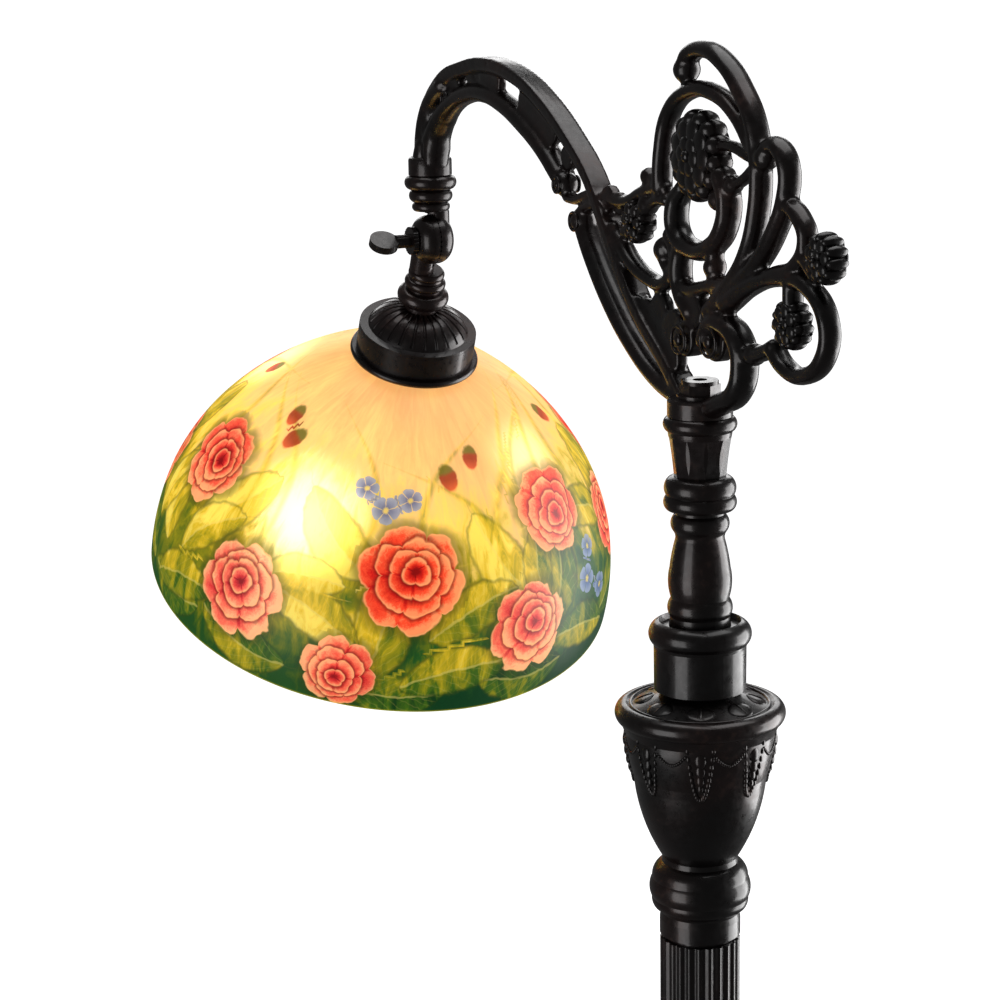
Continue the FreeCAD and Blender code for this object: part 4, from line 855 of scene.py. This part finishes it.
def paintSmallThings(tree, colour, fine):
    a, b, _, near, _ = localSpot(tree, "buds", 0.24, 2)
    drop = sums(tree, "SQRT", sums(tree, "MULTIPLY_ADD", a, a, times(tree, b, b, 2.6)))
    bud = inkRamp(tree, sums(tree, "MULTIPLY_ADD", fine, 0.8, times(tree, a, 0.5)),
                  [(0.0, "#A3260F"), (0.35, "#DB5A34"), (0.8, "#F4B083")])
    bud = blendInk(tree, soften(tree, a, -0.45, -0.1, 1.0, 0.0), bud, ink("#6E6A1C"))
    colour = blendInk(tree, times(tree, soften(tree, drop, 0.75, 1.0, 0.9, 0.0), near), colour, bud)
    a, b, _, near, _ = localSpot(tree, "stars", 0.2, 2)
    mask, depth, crease, _ = petals(tree, a, b, 5, 0.4, 0.95, 0, fine)
    star = inkRamp(tree, depth, [(0.15, "#E9D070"), (0.3, "#4E66A0"), (0.9, "#93A2C4")])
    mask = times(tree, mask, near, soften(tree, crease, 0.3, 0.9, 0.85, 0.1))
    return blendInk(tree, mask, colour, star)


glassFinish = {"glow": 0.95, "hotGlow": 2.2, "through": 0.42, "roughness": 0.42}


def paintedGlass():
    material, tree, shader = newMaterial("paintedGlass")
    sheet = attribute(tree, "sheet").outputs["Vector"]
    split = tree.nodes.new("ShaderNodeSeparateXYZ")
    tree.links.new(sheet, split.inputs[0])
    down = split.outputs[2]
    brushed = tree.nodes.new("ShaderNodeMapping")
    brushed.inputs["Scale"].default_value = (1, 1, 0.3)
    brushed.inputs["Rotation"].default_value = (0.3, 0.2, 0)
    tree.links.new(sheet, brushed.inputs["Vector"])
    strokes = grain(tree, brushed.outputs[0], 15, 5, 0.62, 0.9)
    patches = sums(tree, "SUBTRACT", grain(tree, sheet, 3.0, 3, 0.5, 0.8), 0.5)
    stir = times(tree, sums(tree, "SUBTRACT", strokes, 0.5),
                 soften(tree, down, 0.1, 1.2, 0.15, 1.2))
    level = sums(tree, "ADD", stir, down)
    level = times(tree, sums(tree, "MULTIPLY_ADD", patches, 1.1, level), 0.5)
    cool = inkRamp(tree, level, [(0.0, "#F0C284"), (0.3, "#F2CC88"), (0.46, "#ECD070"),
                                 (0.56, "#B8A828"), (0.66, "#6A7C1A"), (0.76, "#265C24"),
                                 (0.9, "#0E4220")])
    warm = inkRamp(tree, level, [(0.0, "#F2C280"), (0.3, "#F8D88E"), (0.5, "#FBE068"),
                                 (0.62, "#D8BE2C"), (0.74, "#949018"), (0.86, "#4E6A18"),
                                 (0.96, "#245420")])
    side = sums(tree, "MULTIPLY_ADD", grain(tree, sheet, 1.3, 2), 1.0,
                times(tree, split.outputs[1], -0.3))
    colour = blendInk(tree, soften(tree, side, 0.42, 0.66), cool, warm)
    # painted hot spots of bulb light: pale cream patches with extra glow, standing in for the bulb
    # shining through the glass
    a, b, tone, near, _ = localSpot(tree, "paintedHotSpots")
    spread = sums(tree, "SQRT", sums(tree, "MULTIPLY_ADD", a, a, times(tree, b, b)))
    spread = sums(tree, "MULTIPLY_ADD", sums(tree, "SUBTRACT", strokes, 0.5), 0.7, spread)
    hotSpotShare = times(tree, soften(tree, spread, 0.1, 1.0, 1.0, 0.0), near, tone)
    colour = blendInk(tree, times(tree, hotSpotShare, 0.9), colour, ink("#FFF3C0"))
    for name, wide in (("underLeaves", 0.5), ("blades", 0.05), ("leaves", 0.46)):
        colour = paintLeaves(tree, colour, name, wide, strokes)
    # the painted hot spots wash pale again over the leaves
    colour = blendInk(tree, times(tree, hotSpotShare, 0.4), colour, ink("#FFEFA8"))
    colour, fine = paintBlooms(tree, colour)
    colour = paintSmallThings(tree, colour, fine)
    brushMarks = inkRamp(tree, strokes, [(0.35, "#8C7A4A"), (0.65, "#FFFFFF")])
    colour = blendInk(tree, 0.12, colour, brushMarks, "MULTIPLY")
    colour = blendInk(tree, soften(tree, down, 1.955, 1.97, 0.0, 0.7), colour, ink("#C8BE3C"))
    tree.links.new(blendInk(tree, 0.5, colour, ink("#000000")), shader.inputs["Base Color"])
    tree.links.new(colour, shader.inputs["Emission Color"])
    # the glow is stronger in the painted hot spots
    tree.links.new(sums(tree, "MULTIPLY_ADD", hotSpotShare, glassFinish["hotGlow"], glassFinish["glow"]),
                   shader.inputs["Emission Strength"])
    shader.inputs["Roughness"].default_value = glassFinish["roughness"]
    through = tree.nodes.new("ShaderNodeBsdfTranslucent")
    tree.links.new(colour, through.inputs["Color"])
    both = tree.nodes.new("ShaderNodeMixShader")
    both.inputs[0].default_value = glassFinish["through"]
    tree.links.new(shader.outputs[0], both.inputs[1])
    tree.links.new(through.outputs[0], both.inputs[2])
    tree.links.new(both.outputs[0], tree.nodes["Material Output"].inputs["Surface"])
    return material


def makeShade():
    outer, inner = shadeProfile()
    bm = spun(outer + inner, shadeForm["segments"])
    for vert in bm.verts:
        vert.co.y = -vert.co.y
    bmesh.ops.remove_doubles(bm, verts=bm.verts, dist=1e-6)
    bmesh.ops.recalc_face_normals(bm, faces=bm.faces)
    mesh = bpy.data.meshes.new("painted_shade")
    bm.to_mesh(mesh)
    bm.free()
    paintShade(mesh, outer)
    mesh.materials.append(paintedGlass())
    mesh.shade_smooth()
    mesh.set_sharp_from_angle(angle=math.radians(40))
    mesh.transform(headTurn)
    piece = bpy.data.objects.new("painted_shade", mesh)
    bpy.context.scene.collection.objects.link(piece)
    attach(piece, "shade_head")
    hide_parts("glass_shade")


makeShade()
print("stage: painted shade")

# the bulb

bulbForm = {"foot": 135.5, "rows": [(14.4, 8, 0), (27, 26, -0.02), (30, 13, 0.06),
                                    (0.01, 30, (math.sqrt(2) - 1) / 2)], "glow": 14}


def makeBulb():
    material, tree, shader = newMaterial("frostedBulb")
    frost = grain(tree, placed(tree), 60, 3)
    tree.links.new(inkRamp(tree, frost, [(0.3, "#FFE9C4"), (0.7, "#FFF3DC")]),
                   shader.inputs["Base Color"])
    shader.inputs["Emission Color"].default_value = ink("#FFE9C8")
    shader.inputs["Emission Strength"].default_value = bulbForm["glow"]
    shader.inputs["Roughness"].default_value = 0.5
    points = profile((13.05, bulbForm["foot"]), bulbForm["rows"], 8)
    bm = spun(points + [(0.01, bulbForm["foot"])], 40)
    piece = finishPiece("lit_bulb", bm, "bulb", material, headTurn, 60, 2e-5)
    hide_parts("bulb_glass")


makeBulb()
print("stage: bulb")
